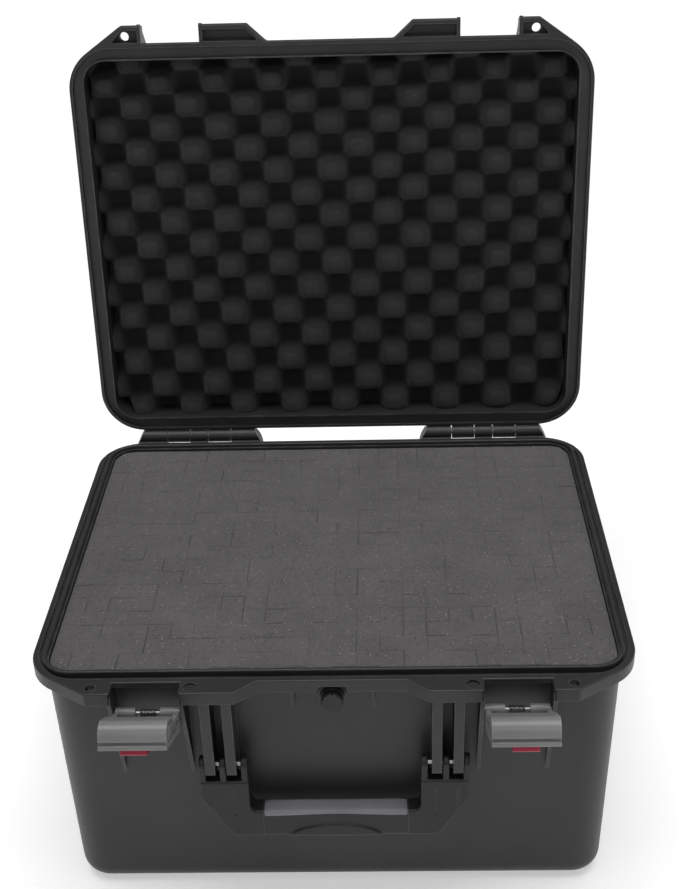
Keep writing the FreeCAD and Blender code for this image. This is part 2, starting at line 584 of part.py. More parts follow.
# ---------------------------------------------------------------- lid
def lid_shell():
    """Shallow tray, drawn shut over the base, with its seal groove, tabs, fins and hinge knuckles."""
    body = drafted_block(OVERHANG, BODY_CORNER, LID_PLANE, LID_TOP, LID_PLANE)
    body = round_level(body, LID_TOP, LID_EDGE_RADIUS)
    rim = round_level(prism_z(rim_corners(0.0, RIM_CORNER), LID_PLANE, LID_PLANE + LID_RIM_HEIGHT),
                      LID_PLANE, EDGE_EASE)
    tabs = prism_z(tabbed_rim(LID_TAB_REACH), LID_PLANE, LID_PLANE + LID_TAB_HEIGHT)
    tabs = tabs.common(box((-HALF_WIDTH, HALF_WIDTH), (-2 * HALF_DEPTH, -HALF_DEPTH + LID_TAB_ROOT),
                           (LID_PLANE, LID_PLANE + LID_TAB_HEIGHT)))
    between = box((-NOTCH_OUT, NOTCH_OUT), (-HALF_DEPTH, -HALF_DEPTH + LID_TAB_ROOT + BREAK_THROUGH),
                  (LID_PLANE + LID_RIM_HEIGHT, LID_PLANE + LID_TAB_HEIGHT))
    tabs = tabs.cut(between)
    fin_front = -HALF_DEPTH - LID_TAB_REACH - FIN_NUB
    fins = latch_fins(fin_front + FIN_NUB_LEAN, fin_front, LID_PLANE, LID_PLANE + LID_FIN_LENGTH,
                      LID_PLANE + FIN_NUB_HEIGHT)
    spans = hinge_spans()
    knuckles = [lid_knuckle(*span) for span in spans["lid"]]
    shell = joined([body, rim, tabs] + both_sides(fins + knuckles))

    cavity = drafted_block(CAVITY_INSET, CAVITY_CORNER, LID_PLANE, LID_TOP - WALL, LID_PLANE)
    cavity = round_level(cavity, LID_TOP - WALL, LID_EDGE_RADIUS - WALL)
    groove = lid_groove(LID_GROOVE_START, 0.0)
    deep = (LID_PLANE, LID_PLANE + LID_TAB_POCKET)
    inner_pocket = inner_tab_pocket(LID_TAB_REACH, -HALF_DEPTH - TAB_WALL / 2, *deep)
    outer_pocket = outer_tab_pocket(LID_TAB_REACH, *deep)
    padlock = Part.makeCylinder(PADLOCK_HOLE_RADIUS, LID_TAB_HEIGHT + 2 * BREAK_THROUGH,
                                Vector(PADLOCK_X, PADLOCK_Y, LID_PLANE - BREAK_THROUGH))
    bore = rod_x(HINGE_PIN_RADIUS + RUNNING, *hinge_pin_span(), HINGE_Y, HINGE_Z)
    return shell.cut([cavity, groove] + both_sides([inner_pocket, outer_pocket, padlock, bore]))


def lid_groove_floor():
    """Height of the bottom of the lid's seal groove when the lid is shut."""
    return BASE_HEIGHT + TONGUE_HEIGHT + GASKET_STANDOFF + GASKET_THICKNESS


def lid_groove(outer_inset, low):
    """Space of the lid's seal groove, or of a ring in it that starts low above the parting plane."""
    inner_inset = TONGUE_START + TONGUE_WIDTH + SEAL_CLEARANCE
    inner_corner = SEAL_CORNER - TONGUE_WIDTH - SEAL_CLEARANCE
    outer = prism_z(rim_corners(outer_inset, RIM_CORNER - outer_inset), LID_PLANE + low, lid_groove_floor())
    return outer.cut(prism_z(rim_corners(inner_inset, inner_corner), LID_PLANE + low, lid_groove_floor()))


def lid_gasket():
    """Flat soft ring at the bottom of the lid's groove."""
    low = lid_groove_floor() - GASKET_THICKNESS
    inner_inset = TONGUE_START + TONGUE_WIDTH + SEAL_CLEARANCE - GASKET_SIDE_GAP
    inner_corner = SEAL_CORNER - TONGUE_WIDTH - SEAL_CLEARANCE
    outer_inset = LID_GROOVE_START + GASKET_SIDE_GAP
    outer = prism_z(rim_corners(outer_inset, RIM_CORNER - outer_inset), low, lid_groove_floor())
    return outer.cut(prism_z(rim_corners(inner_inset, inner_corner), low, lid_groove_floor()))


def lid_foam():
    """Envelope of the convoluted foam glued into the lid."""
    inset = CAVITY_INSET + FOAM_CLEARANCE
    top = LID_TOP - WALL
    block = drafted_block(inset, CAVITY_CORNER, LID_PLANE + LID_FOAM_RECESS, top, LID_PLANE)
    return round_level(block, top, LID_EDGE_RADIUS - WALL + FOAM_CLEARANCE)


# ---------------------------------------------------------------- foam in the base
def base_foam(low, high):
    """Slice between two heights of the foam that fills the base, just clear of the walls."""
    fill = drafted_block(CAVITY_INSET + FOAM_CLEARANCE, CAVITY_CORNER,
                         BASE_HEIGHT - FOAM_BELOW_PARTING, WALL, BASE_HEIGHT)
    fill = round_level(fill, WALL, BASE_EDGE_RADIUS - WALL)
    return fill.common(box((-HALF_WIDTH, HALF_WIDTH), (-HALF_DEPTH, HALF_DEPTH), (low, high)))


def base_foam_block():
    """Cubed foam on top of the floor pad, cut back round the valve's nut."""
    relief = rod_y(VALVE_BOSS_RADIUS + FOAM_RELIEF, -HALF_DEPTH,
                   VALVE_INNER_FACE + VALVE_NUT + FOAM_RELIEF, 0.0, VALVE_HEIGHT)
    return base_foam(WALL + FLOOR_PAD, BASE_HEIGHT - FOAM_BELOW_PARTING).cut(relief)


def base_foam_floor_pad():
    """Plain foam sheet under the cubed block."""
    return base_foam(WALL, WALL + FLOOR_PAD)


# ---------------------------------------------------------------- purge valve
def purge_valve_body():
    """Flanged shank through the wall, with a seat for its ring outside and an air bore inside."""
    flange_front = VALVE_FACE - VALVE_FLANGE
    tail = VALVE_INNER_FACE + VALVE_NUT + VALVE_TAIL
    solid = joined([
        rod_y(VALVE_SHANK_RADIUS, flange_front, tail, 0.0, VALVE_HEIGHT),
        rod_y(VALVE_FLANGE_RADIUS, flange_front, VALVE_FACE, 0.0, VALVE_HEIGHT),
        rod_y(VALVE_STUB_RADIUS, flange_front - VALVE_STUB_LENGTH, flange_front, 0.0, VALVE_HEIGHT),
    ])
    seat_low = VALVE_FACE - 2 * ORING_WIRE
    seat = rod_y(ORING_RADIUS + ORING_WIRE, seat_low, VALVE_FACE, 0.0, VALVE_HEIGHT)
    seat = seat.cut(rod_y(ORING_RADIUS - ORING_WIRE, seat_low, VALVE_FACE, 0.0, VALVE_HEIGHT))
    bore = rod_y(VALVE_BORE_RADIUS, VALVE_FACE, tail, 0.0, VALVE_HEIGHT)
    return solid.cut([seat, bore])


def purge_valve_oring():
    """Round-section ring between the valve's flange and the wall."""
    return Part.makeTorus(ORING_RADIUS, ORING_WIRE, Vector(0, VALVE_FACE - ORING_WIRE, VALVE_HEIGHT),
                          Vector(0, 1, 0))


def purge_valve_membrane():
    """Breathing disc at the blind end of the valve's bore."""
    return rod_y(VALVE_BORE_RADIUS, VALVE_FACE, VALVE_FACE + MEMBRANE, 0.0, VALVE_HEIGHT)


def purge_valve_nut():
    """Hexagon nut that clamps the valve from inside the case."""
    radius = VALVE_NUT_FLATS / 2 / math.cos(math.pi / 6)
    corners = [(radius * math.cos(math.pi * k / 3), VALVE_HEIGHT + radius * math.sin(math.pi * k / 3), 0.0)
               for k in range(6)]
    span = (VALVE_INNER_FACE, VALVE_INNER_FACE + VALVE_NUT)
    return prism_y(corners, *span).cut(rod_y(VALVE_SHANK_RADIUS, *span, 0.0, VALVE_HEIGHT))


def purge_valve_knob():
    """Fluted cap that turns on the valve's stub."""
    back = VALVE_FACE - VALVE_FLANGE - VALVE_KNOB_GAP
    stub_end = VALVE_FACE - VALVE_FLANGE - VALVE_STUB_LENGTH
    front = stub_end - RUNNING - VALVE_KNOB_CAP
    knob = rod_y(VALVE_KNOB_RADIUS, front, back, 0.0, VALVE_HEIGHT)
    knob = knob.makeFillet(EDGE_EASE, [edge for edge in knob.Edges
                                       if edge.Vertexes[0].Y < front + 1e-4 and len(edge.Vertexes) == 1])
    flutes = []
    for index in range(VALVE_FLUTE_COUNT):
        angle = 2 * math.pi * index / VALVE_FLUTE_COUNT
        flutes.append(rod_y(VALVE_FLUTE_RADIUS, front - BREAK_THROUGH, back + BREAK_THROUGH,
                            VALVE_KNOB_RADIUS * math.cos(angle),
                            VALVE_HEIGHT + VALVE_KNOB_RADIUS * math.sin(angle)))
    bore = rod_y(VALVE_STUB_RADIUS + RUNNING, stub_end - RUNNING, back, 0.0, VALVE_HEIGHT)
    return knob.cut(flutes + [bore])


# ---------------------------------------------------------------- handle
def handle_pin_span():
    """X limits of a handle pin, ending inside the outermost and innermost knuckles."""
    half = KNUCKLE_WIDTH / 2 - HANDLE_PIN_SETBACK
    return KNUCKLE_CENTRES[0] - half, KNUCKLE_CENTRES[-1] + half


def handle_frame():
    """Moulded frame: two slotted arms with knuckles, and a lower bar with a thin core for the grip."""
    half = HANDLE_WIDTH / 2
    low = HANDLE_Z - HANDLE_DROP
    inner = half - ARM_WIDTH
    bar_top = low + GRIP_HEIGHT
    shoulder = HANDLE_Z - SLOT_DEPTH
    y_low = HANDLE_Y - HANDLE_THICKNESS / 2
    y_high = HANDLE_Y + HANDLE_THICKNESS / 2
    corners = [(half - CORNER_CUT_X, low, CORNER_CUT_ROUND), (half, low + CORNER_CUT_Z, CORNER_CUT_ROUND),
               (half, shoulder, SHOULDER_ROUND), (inner, shoulder, SHOULDER_ROUND),
               (inner, bar_top, ELBOW_ROUND)]
    left = [(-x, z, radius) for x, z, radius in reversed(corners)]
    plate = prism_y(corners + left, y_low, y_high)
    rim = [edge for edge in plate.Edges
           if all(abs(v.Y - y_low) < 1e-4 for v in edge.Vertexes)
           or all(abs(v.Y - y_high) < 1e-4 for v in edge.Vertexes)]
    plate = plate.makeFillet(HANDLE_EASE, rim)

    half_knuckle = HANDLE_THICKNESS / 2 - KNUCKLE_SETBACK
    knuckles = []
    for centre in KNUCKLE_CENTRES:
        span = (centre - KNUCKLE_WIDTH / 2, centre + KNUCKLE_WIDTH / 2)
        disc = rod_x(half_knuckle, *span, HANDLE_Y, HANDLE_Z)
        rims = [edge for edge in disc.Edges if isinstance(edge.Curve, Part.Circle)]
        disc = disc.makeFillet(KNUCKLE_EASE, rims)
        neck = box(span, (HANDLE_Y - half_knuckle, HANDLE_Y + half_knuckle),
                   (shoulder - 2 * HANDLE_EASE, HANDLE_Z))
        uprights = [edge for edge in neck.Edges if edge.BoundBox.ZLength > SLOT_DEPTH]
        neck = neck.makeFillet(KNUCKLE_EASE, uprights)
        knuckles += [disc, neck]
    frame = joined([plate] + both_sides(knuckles))

    grip_half = GRIP_LENGTH / 2
    around = box((-grip_half, grip_half), (y_low - BREAK_THROUGH, y_high + BREAK_THROUGH),
                 (low - BREAK_THROUGH, bar_top + BREAK_THROUGH))
    core = grip_core()
    frame = frame.cut(around).fuse(core).removeSplitter()
    half_groove = ARM_GROOVE_WIDTH / 2
    grooves = [box((centre - half_groove, centre + half_groove),
                   (y_low - BREAK_THROUGH, y_low + ARM_GROOVE_DEPTH),
                   (bar_top - ARM_GROOVE_LOW, shoulder - ARM_GROOVE_HIGH))
               for centre in RIB_CENTRES]
    bore = rod_x(HANDLE_PIN_RADIUS + RUNNING, *handle_pin_span(), HANDLE_Y, HANDLE_Z)
    return frame.cut(both_sides(grooves + [bore]))


def grip_core():
    """Thin bar of the frame that runs through the grip."""
    middle_z = HANDLE_Z - HANDLE_DROP + GRIP_HEIGHT / 2
    half_z = GRIP_CORE_HEIGHT / 2
    half_y = GRIP_CORE_THICKNESS / 2
    half_x = GRIP_LENGTH / 2 + BREAK_THROUGH
    return prism_x(rectangle(HANDLE_Y - half_y, HANDLE_Y + half_y, middle_z - half_z, middle_z + half_z,
                             GRIP_CORE_ROUND), -half_x, half_x)


def handle_grip():
    """Soft sleeve moulded round the frame's lower bar."""
    low = HANDLE_Z - HANDLE_DROP
    half_y = GRIP_THICKNESS / 2
    sleeve = prism_x(rectangle(HANDLE_Y - half_y, HANDLE_Y + half_y, low, low + GRIP_HEIGHT, GRIP_ROUND),
                     -GRIP_LENGTH / 2, GRIP_LENGTH / 2)
    return sleeve.cut(grip_core())


# ---------------------------------------------------------------- latches
def latch_profile(points):
    """Outline in the latch's own (up, out) sizes, as (y, z) corners round its pivot."""
    return [(LATCH_Y - out, LATCH_Z + up, radius) for up, out, radius in points]


def latch_block(x, up, out):
    """Block in the latch's own sizes."""
    return box(x, (LATCH_Y - out[1], LATCH_Y - out[0]), (LATCH_Z + up[0], LATCH_Z + up[1]))


def latch_hook_up():
    """Height of the hook's underside above the pivot, just clear of the lid's rim."""
    return LID_PLANE + LID_RIM_HEIGHT + HOOK_CLEARANCE - LATCH_Z


def latch_side_recess(low, high):
    """Cut in a latch's side between two x values: an L along its edges round a trapezoid island."""
    near_face = LATCH_FACE_OUT - LATCH_CHEEK
    tip = LATCH_LENGTH - LATCH_TIP_WALL
    heel = latch_hook_up() + LATCH_CHEEK
    back = LATCH_CHEEK - LATCH_HOOK_IN
    round_in = LATCH_CHEEK / 2
    recess = prism_x(latch_profile([
        (2 * LATCH_CHEEK, round_in, round_in), (4 * LATCH_CHEEK, near_face, round_in),
        (tip, near_face, round_in), (tip, back, round_in),
        (heel, back, round_in), (heel, round_in, round_in)]), low, high)
    island_foot = heel + LATCH_CHEEK
    island = prism_x(latch_profile([
        (island_foot, back + LATCH_CHEEK, 0.0), (island_foot, near_face - LATCH_CHEEK, 0.0),
        (tip - round_in, near_face - round_in, 0.0), (tip - round_in, back + round_in, 0.0)]), low, high)
    return recess.cut(island)


def latch_body():
    """Right-hand latch, shut: cheeks, outer plate, thick hooked tip, pivot barrels, trigger pocket."""
    left = LATCH_CENTRE - LATCH_WIDTH / 2
    right = LATCH_CENTRE + LATCH_WIDTH / 2
    hook = latch_hook_up()
    whole = prism_x(latch_profile([
        (-LATCH_BARREL_RADIUS, 0.0, 0.0),
        (-LATCH_BACK_UP, LATCH_FACE_OUT - LATCH_BACK_ROUND, LATCH_BACK_ROUND),
        (LATCH_BEND_UP, LATCH_FACE_OUT, LATCH_FACE_ROUND), (LATCH_LENGTH, LATCH_FACE_OUT, MOULD_ROUND),
        (LATCH_LENGTH, -LATCH_HOOK_IN, LATCH_TIP_ROUND), (hook, -LATCH_CATCH_IN, EDGE_EASE),
        (hook, -LATCH_CHEEK_IN, 0.0), (0.0, -LATCH_CHEEK_IN, 0.0),
    ]), left, right)
    plate_back = LATCH_FACE_OUT - LATCH_PLATE
    hollow = latch_block((left + LATCH_CHEEK, right - LATCH_CHEEK), (-2 * LATCH_BARREL_RADIUS, hook),
                         (-2 * LATCH_HOOK_IN, plate_back))
    core = latch_block((left + 2 * LATCH_CHEEK, right - 2 * LATCH_CHEEK),
                       (hook, LATCH_LENGTH - LATCH_TIP_WALL),
                       (LATCH_HOOK_WALL - LATCH_CATCH_IN, TRIGGER_POCKET_FLOOR - TRIGGER_FLOOR_WALL))
    end_groove_out = LATCH_FACE_OUT - LATCH_END_LIP
    end_groove = latch_block((left - BREAK_THROUGH, right + BREAK_THROUGH),
                             (LATCH_LENGTH - LATCH_END_GROOVE_DEPTH, LATCH_LENGTH + BREAK_THROUGH),
                             (end_groove_out - LATCH_END_GROOVE, end_groove_out))
    half_pocket = TRIGGER_WIDTH / 2 + TRIGGER_GAP
    pocket = latch_block((LATCH_CENTRE - half_pocket, LATCH_CENTRE + half_pocket),
                         (TRIGGER_TOP - TRIGGER_LENGTH - TRIGGER_GAP, TRIGGER_TOP + TRIGGER_GAP),
                         (TRIGGER_POCKET_FLOOR, LATCH_FACE_OUT + BREAK_THROUGH))
    pivots = []
    for span in ((left, left + LATCH_BARREL_LENGTH), (right - LATCH_BARREL_LENGTH, right)):
        pivots.append(rod_x(LATCH_BARREL_RADIUS, *span, LATCH_Y, LATCH_Z))
        pivots.append(latch_block(span, (-LATCH_WEB_HALF, LATCH_WEB_HALF), (0.0, plate_back + BREAK_THROUGH)))
    recesses = [latch_side_recess(left - BREAK_THROUGH, left + LATCH_SIDE_RECESS),
                latch_side_recess(right - LATCH_SIDE_RECESS, right + BREAK_THROUGH)]
    solid = joined([whole.cut([hollow, core, end_groove] + recesses)] + pivots)
    bore = rod_x(LATCH_PIN_RADIUS + RUNNING, left, right, LATCH_Y, LATCH_Z)
    trigger_bore = rod_x(TRIGGER_PIN_RADIUS, *trigger_pin_span(),
                         LATCH_Y - TRIGGER_PIVOT_OUT, LATCH_Z + TRIGGER_PIVOT_UP)
    return solid.cut([bore, pocket, trigger_bore])


def trigger_pin_span():
    """X limits of the right-hand trigger's pin."""
    half = TRIGGER_WIDTH / 2 + TRIGGER_PIN_HOLD
    return LATCH_CENTRE - half, LATCH_CENTRE + half


def latch_trigger():
    """Right-hand trigger: a rocking plate with two ears on its pin."""
    half = TRIGGER_WIDTH / 2
    low = TRIGGER_TOP - TRIGGER_LENGTH
    face = LATCH_FACE_OUT + TRIGGER_PROUD
    plate = prism_x(latch_profile([(low, TRIGGER_INNER_FACE, TRIGGER_EASE),
                                   (low, LATCH_FACE_OUT + TRIGGER_LOW_PROUD, MOULD_ROUND),
                                   (TRIGGER_PIVOT_UP, face, TRIGGER_BEND), (TRIGGER_TOP, face, MOULD_ROUND),
                                   (TRIGGER_TOP, TRIGGER_INNER_FACE, TRIGGER_EASE)]),
                    LATCH_CENTRE - half, LATCH_CENTRE + half)
    ears = []
    for x in (LATCH_CENTRE - half, LATCH_CENTRE + half - TRIGGER_EAR):
        ears.append(latch_block(
            (x, x + TRIGGER_EAR),
            (TRIGGER_PIVOT_UP - TRIGGER_EAR_RADIUS, TRIGGER_PIVOT_UP + TRIGGER_EAR_RADIUS),
            (TRIGGER_PIVOT_OUT, TRIGGER_INNER_FACE)))
        ears.append(rod_x(TRIGGER_EAR_RADIUS, x, x + TRIGGER_EAR,
                          LATCH_Y - TRIGGER_PIVOT_OUT, LATCH_Z + TRIGGER_PIVOT_UP))
    bore = rod_x(TRIGGER_PIN_RADIUS + RUNNING, LATCH_CENTRE - half, LATCH_CENTRE + half,
                 LATCH_Y - TRIGGER_PIVOT_OUT, LATCH_Z + TRIGGER_PIVOT_UP)
    relief = rod_x(TRIGGER_PIN_RADIUS + 2 * SPRING_CLEARANCE + SPRING_WIRE,
                   LATCH_CENTRE - half + TRIGGER_EAR, LATCH_CENTRE + half - TRIGGER_EAR,
                   LATCH_Y - TRIGGER_PIVOT_OUT, LATCH_Z + TRIGGER_PIVOT_UP)
    return joined([plate] + ears).cut([bore, relief])


def coil_tube(pin_radius, length, y, z):
    """Outer size of a coil spring wound round a pin under the right-hand latch's middle."""
    inner = pin_radius + SPRING_CLEARANCE
    return tube_x(inner, inner + SPRING_WIRE, LATCH_CENTRE - length / 2, LATCH_CENTRE + length / 2, y, z)


# ---------------------------------------------------------------- rest pose
def opened_lid(solid):
    """A piece of the lid, swung back to its open stop."""
    turned = solid.copy()
    turned.rotate(Vector(0, HINGE_Y, HINGE_Z), Vector(1, 0, 0), -OPEN_ANGLE)
    return turned


def opened_latch(solid):
    """A piece of the latch, swung out from the case."""
    turned = solid.copy()
    turned.rotate(Vector(0, LATCH_Y, LATCH_Z), Vector(1, 0, 0), LATCH_OPEN_ANGLE)
    return turned


def all_nodes():
    """Every separate piece of the case in its rest pose, by name."""
    nodes = {
        "base_shell": base_shell(),
        "base_foam_block": base_foam_block(),
        "base_foam_floor_pad": base_foam_floor_pad(),
        "purge_valve_body": purge_valve_body(),
        "purge_valve_oring": purge_valve_oring(),
        "purge_valve_membrane": purge_valve_membrane(),
        "purge_valve_nut": purge_valve_nut(),
        "purge_valve_knob": purge_valve_knob(),
        "lid_shell": opened_lid(lid_shell()),
        "lid_gasket": opened_lid(lid_gasket()),
        "lid_foam": opened_lid(lid_foam()),
        "handle_frame": handle_frame(),
        "handle_grip": handle_grip(),
    }
    trigger_y = LATCH_Y - TRIGGER_PIVOT_OUT
    trigger_z = LATCH_Z + TRIGGER_PIVOT_UP
    right_hand = {
        "hinge_pin": rod_x(HINGE_PIN_RADIUS, *hinge_pin_span(), HINGE_Y, HINGE_Z),
        "handle_pin": rod_x(HANDLE_PIN_RADIUS, *handle_pin_span(), HANDLE_Y, HANDLE_Z),
        "latch_pin": rod_x(LATCH_PIN_RADIUS, NOTCH_IN - FIN_WALL, NOTCH_OUT + FIN_WALL, LATCH_Y, LATCH_Z),
        "latch_spring": coil_tube(LATCH_PIN_RADIUS, LATCH_SPRING_LENGTH, LATCH_Y, LATCH_Z),
        "latch_body": opened_latch(latch_body()),
        "latch_trigger": opened_latch(latch_trigger()),
        "trigger_pin": opened_latch(rod_x(TRIGGER_PIN_RADIUS, *trigger_pin_span(), trigger_y, trigger_z)),
        "trigger_spring": opened_latch(coil_tube(TRIGGER_PIN_RADIUS, TRIGGER_SPRING_LENGTH,
                                                 trigger_y, trigger_z)),
    }
    for name, solid in right_hand.items():
        nodes[name + "_right"] = solid
        nodes[name + "_left"] = mirrored(solid)
    return nodes


def main():
    """Write one STEP file for each piece."""
    os.makedirs("parts", exist_ok=True)
    for name, shape in all_nodes().items():
        volume = shape.Volume / 1000
        print(f"{name:24s} solids {len(shape.Solids)}  valid {shape.isValid()}  {volume:9.2f} cm3")
        shape.exportStep(f"parts/{name}.step")


main()
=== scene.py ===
# %% [markdown]
# # A hard equipment case, standing open
# The case is two moulded trays joined by a hinge, with foam inside. The frame below holds every
# hard piece at its real size, so this script gives those pieces their real finishes and makes
# the soft and wound pieces anew: the foams, the handle's grip and the latch springs.

# %% Load the frame
import json
import math

import bpy
import numpy as np
from mathutils import Matrix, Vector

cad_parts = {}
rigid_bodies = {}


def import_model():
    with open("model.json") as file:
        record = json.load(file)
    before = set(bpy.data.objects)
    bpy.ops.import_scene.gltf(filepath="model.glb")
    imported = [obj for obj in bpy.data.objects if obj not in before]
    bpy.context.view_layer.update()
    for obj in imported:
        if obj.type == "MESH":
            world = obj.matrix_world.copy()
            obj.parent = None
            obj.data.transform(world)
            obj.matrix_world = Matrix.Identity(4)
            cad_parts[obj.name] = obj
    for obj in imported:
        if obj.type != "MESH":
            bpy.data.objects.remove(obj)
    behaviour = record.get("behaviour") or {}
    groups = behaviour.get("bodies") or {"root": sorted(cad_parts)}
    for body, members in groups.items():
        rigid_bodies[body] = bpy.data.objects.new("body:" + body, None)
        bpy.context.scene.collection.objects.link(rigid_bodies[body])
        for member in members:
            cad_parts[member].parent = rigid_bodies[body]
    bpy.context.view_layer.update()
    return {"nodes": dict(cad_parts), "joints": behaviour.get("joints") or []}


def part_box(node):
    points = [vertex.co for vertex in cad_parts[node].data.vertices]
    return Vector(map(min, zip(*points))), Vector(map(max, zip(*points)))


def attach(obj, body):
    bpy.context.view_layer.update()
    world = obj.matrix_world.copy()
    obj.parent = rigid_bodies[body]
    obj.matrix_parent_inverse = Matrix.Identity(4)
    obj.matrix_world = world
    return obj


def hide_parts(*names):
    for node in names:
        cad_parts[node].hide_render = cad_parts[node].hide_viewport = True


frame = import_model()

MM = 0.001
SEED = 11
NODES = frame["nodes"]

# %% [markdown]
# ## Camera
# The case was seen from in front and above, with a normal lens about 1.3 metres away. A camera
# can be aimed with a Track To constraint, or its axes can be written straight into its matrix.
# The matrix is used here because the view is also turned a little about its own axis.

# %% Camera
LENS_MM = 54.99
SENSOR_MM = 36.0
NEAR_CLIP = 50 * MM
EYE = np.array([42.06, -980.29, 878.66]) * MM
PITCH, YAW, ROLL = (math.radians(a) for a in (29.472, 1.642, 1.680))


def camera_axes(pitch, yaw, roll):
    """Right, up and back axes of a camera that looks along +Y, then nods down by pitch,
    turns about Z by yaw and rolls about its own line of sight."""
    forward = np.array([-math.sin(yaw) * math.cos(pitch), math.cos(yaw) * math.cos(pitch),
                        -math.sin(pitch)])
    level = np.array([math.cos(yaw), math.sin(yaw), 0.0])
    down = np.cross(forward, level)
    right = math.cos(roll) * level + math.sin(roll) * down
    return right, -(math.cos(roll) * down - math.sin(roll) * level), -forward


def placed(x_axis, y_axis, z_axis, origin):
    """Matrix that puts an object at an origin with these three axes."""
    return Matrix([[*row] for row in zip(x_axis, y_axis, z_axis, origin)] + [[0, 0, 0, 1]])


camera_data = bpy.data.cameras.new("case_camera")
camera_data.lens = LENS_MM
camera_data.sensor_width = SENSOR_MM
camera_data.clip_start = NEAR_CLIP
camera = bpy.data.objects.new("case_camera", camera_data)
bpy.context.scene.collection.objects.link(camera)
right_axis, up_axis, back_axis = camera_axes(PITCH, YAW, ROLL)
camera.matrix_world = placed(right_axis, up_axis, back_axis, EYE)
bpy.context.scene.camera = camera
print("camera at", EYE.round(3), "lens", LENS_MM, "mm")

# %% [markdown]
# ## Studio
# Product pictures of black plastic need large soft lights, because the plastic shows little of
# its own colour and mostly mirrors what is bright around it. A wide panel hangs above, a smaller
# one stands in front, two weak ones fill the sides, and a pale floor throws light back up.

# %% Floor and lights
FLOOR_SIZE = 14.0


def new_object(name, points, faces):
    """A mesh object from an array of points and a list of faces."""
    mesh = bpy.data.meshes.new(name)
    mesh.from_pydata(points.tolist(), [], faces)
    mesh.update()
    made = bpy.data.objects.new(name, mesh)
    bpy.context.scene.collection.objects.link(made)
    return made


floor_corners = np.array([[-1, -1, 0], [1, -1, 0], [1, 1, 0], [-1, 1, 0]]) * FLOOR_SIZE / 2
floor = new_object("studio_floor", floor_corners, [[0, 1, 2, 3]])


def panel_light(name, place, aim, size, power):
    """Rectangular soft light at a place, turned towards a point."""
    lamp = bpy.data.lights.new(name, "AREA")
    lamp.shape = "RECTANGLE"
    lamp.size, lamp.size_y = size
    lamp.energy = power
    holder = bpy.data.objects.new(name, lamp)
    bpy.context.scene.collection.objects.link(holder)
    back = np.array(place, float) - np.array(aim, float)
    back /= np.linalg.norm(back)
    side = np.cross([0.0, 0.0, 1.0], back)
    side /= np.linalg.norm(side)
    up = np.cross(back, side)
    holder.matrix_world = placed(side, up, back, place)
    return holder


FOAM_MIDDLE, CASE_MIDDLE = (0.0, 0.0, 0.2), (0.0, 0.0, 0.22)
panel_light("overhead_panel", place=(0.0, -0.15, 2.3), aim=FOAM_MIDDLE, size=(2.4, 1.3), power=46)
panel_light("front_panel", place=(0.1, -2.1, 1.75), aim=CASE_MIDDLE, size=(1.4, 0.8), power=8)
for name, side_x in (("right_panel", 2.3), ("left_panel", -2.3)):
    panel_light(name, place=(side_x, -0.2, 1.2), aim=CASE_MIDDLE, size=(1.2, 1.2), power=4)
bpy.context.scene.view_settings.view_transform = "Standard"
print("floor and four panels in place")

# %% [markdown]
# ## Material tools
# A colour picked off a screen is an sRGB hex code, while shaders add light and need linear
# values, so one function turns the code over. A second one adds a node, sets its values and
# makes its links in one call, so that each material below reads as a short recipe.

# %% Colour and node helpers
def linear(code):
    """Linear RGBA of an sRGB hex code: below 0.04045 a straight line, above it a 2.4 power."""
    values = [int(code[i:i + 2], 16) / 255 for i in (1, 3, 5)]
    return tuple(v / 12.92 if v <= 0.04045 else ((v + 0.055) / 1.055) ** 2.4 for v in values) + (1.0,)


def add(tree, kind, inputs=None, stops=(), **settings):
    """Add one node. Each input is a value, or a socket of another node to link from. Stops are the
    rising (position, linear colour) pairs of a colour ramp."""
    made = tree.nodes.new(kind)
    for name, value in settings.items():
        setattr(made, name, value)
    for name, value in (inputs or {}).items():
        if isinstance(value, bpy.types.NodeSocket):
            tree.links.new(value, made.inputs[name])
        else:
            made.inputs[name].default_value = value
    for index, (position, colour) in enumerate(stops):
        elements = made.color_ramp.elements
        stop = elements[index] if index < len(elements) else elements.new(position)
        stop.position, stop.color = position, colour
    return made


def per_mm(size):
    """Texture scale, in cycles per metre, of a pattern whose cell is size millimetres."""
    return 1.0 / (size * MM)


def new_material(name, **surface):
    """A material with one Principled shader; the keywords set its plain values."""
    material = bpy.data.materials.new(name)
    material.use_nodes = True
    tree = material.node_tree
    shader = tree.nodes["Principled BSDF"]
    for key, value in surface.items():
        shader.inputs[key.replace("_", " ").title().replace("Ior", "IOR")].default_value = value
    place = add(tree, "ShaderNodeTexCoord").outputs["Object"]
    return material, tree, shader, place


def paint(node_names, material):
    """Give CAD nodes this material in all their slots, and tell how many nodes that was."""
    for name in node_names:
        mesh = NODES[name].data
        if not mesh.materials:
            mesh.materials.append(material)
        for index in range(len(mesh.materials)):
            mesh.materials[index] = material
    return len(node_names)


# a Mix node set to RGBA takes its two colours at inputs 6 and 7 and gives its result at output 2
COLOUR_A, COLOUR_B, MIXED = 6, 7, 2
print("helpers ready; mid grey is", [round(v, 3) for v in linear("#808080")[:3]])

# %% [markdown]
# ## Moulded polypropylene
# The shells, handle and latches are injection moulded polypropylene, filled black. The steel
# mould is spark eroded, which leaves a fine pebble on the plastic: it breaks up the gloss, so
# the surface shines broadly. A noise pattern makes the pebble and a slow one the uneven tone; a
# bevel test finds the edges, which get a painted highlight, paler in patches of a third noise.

# %% Moulded plastics
TONE_PATCH_MM, HIGHLIGHT_PATCH_MM, EDGE_HIGHLIGHT_MM = 85.0, 14.0, 0.9


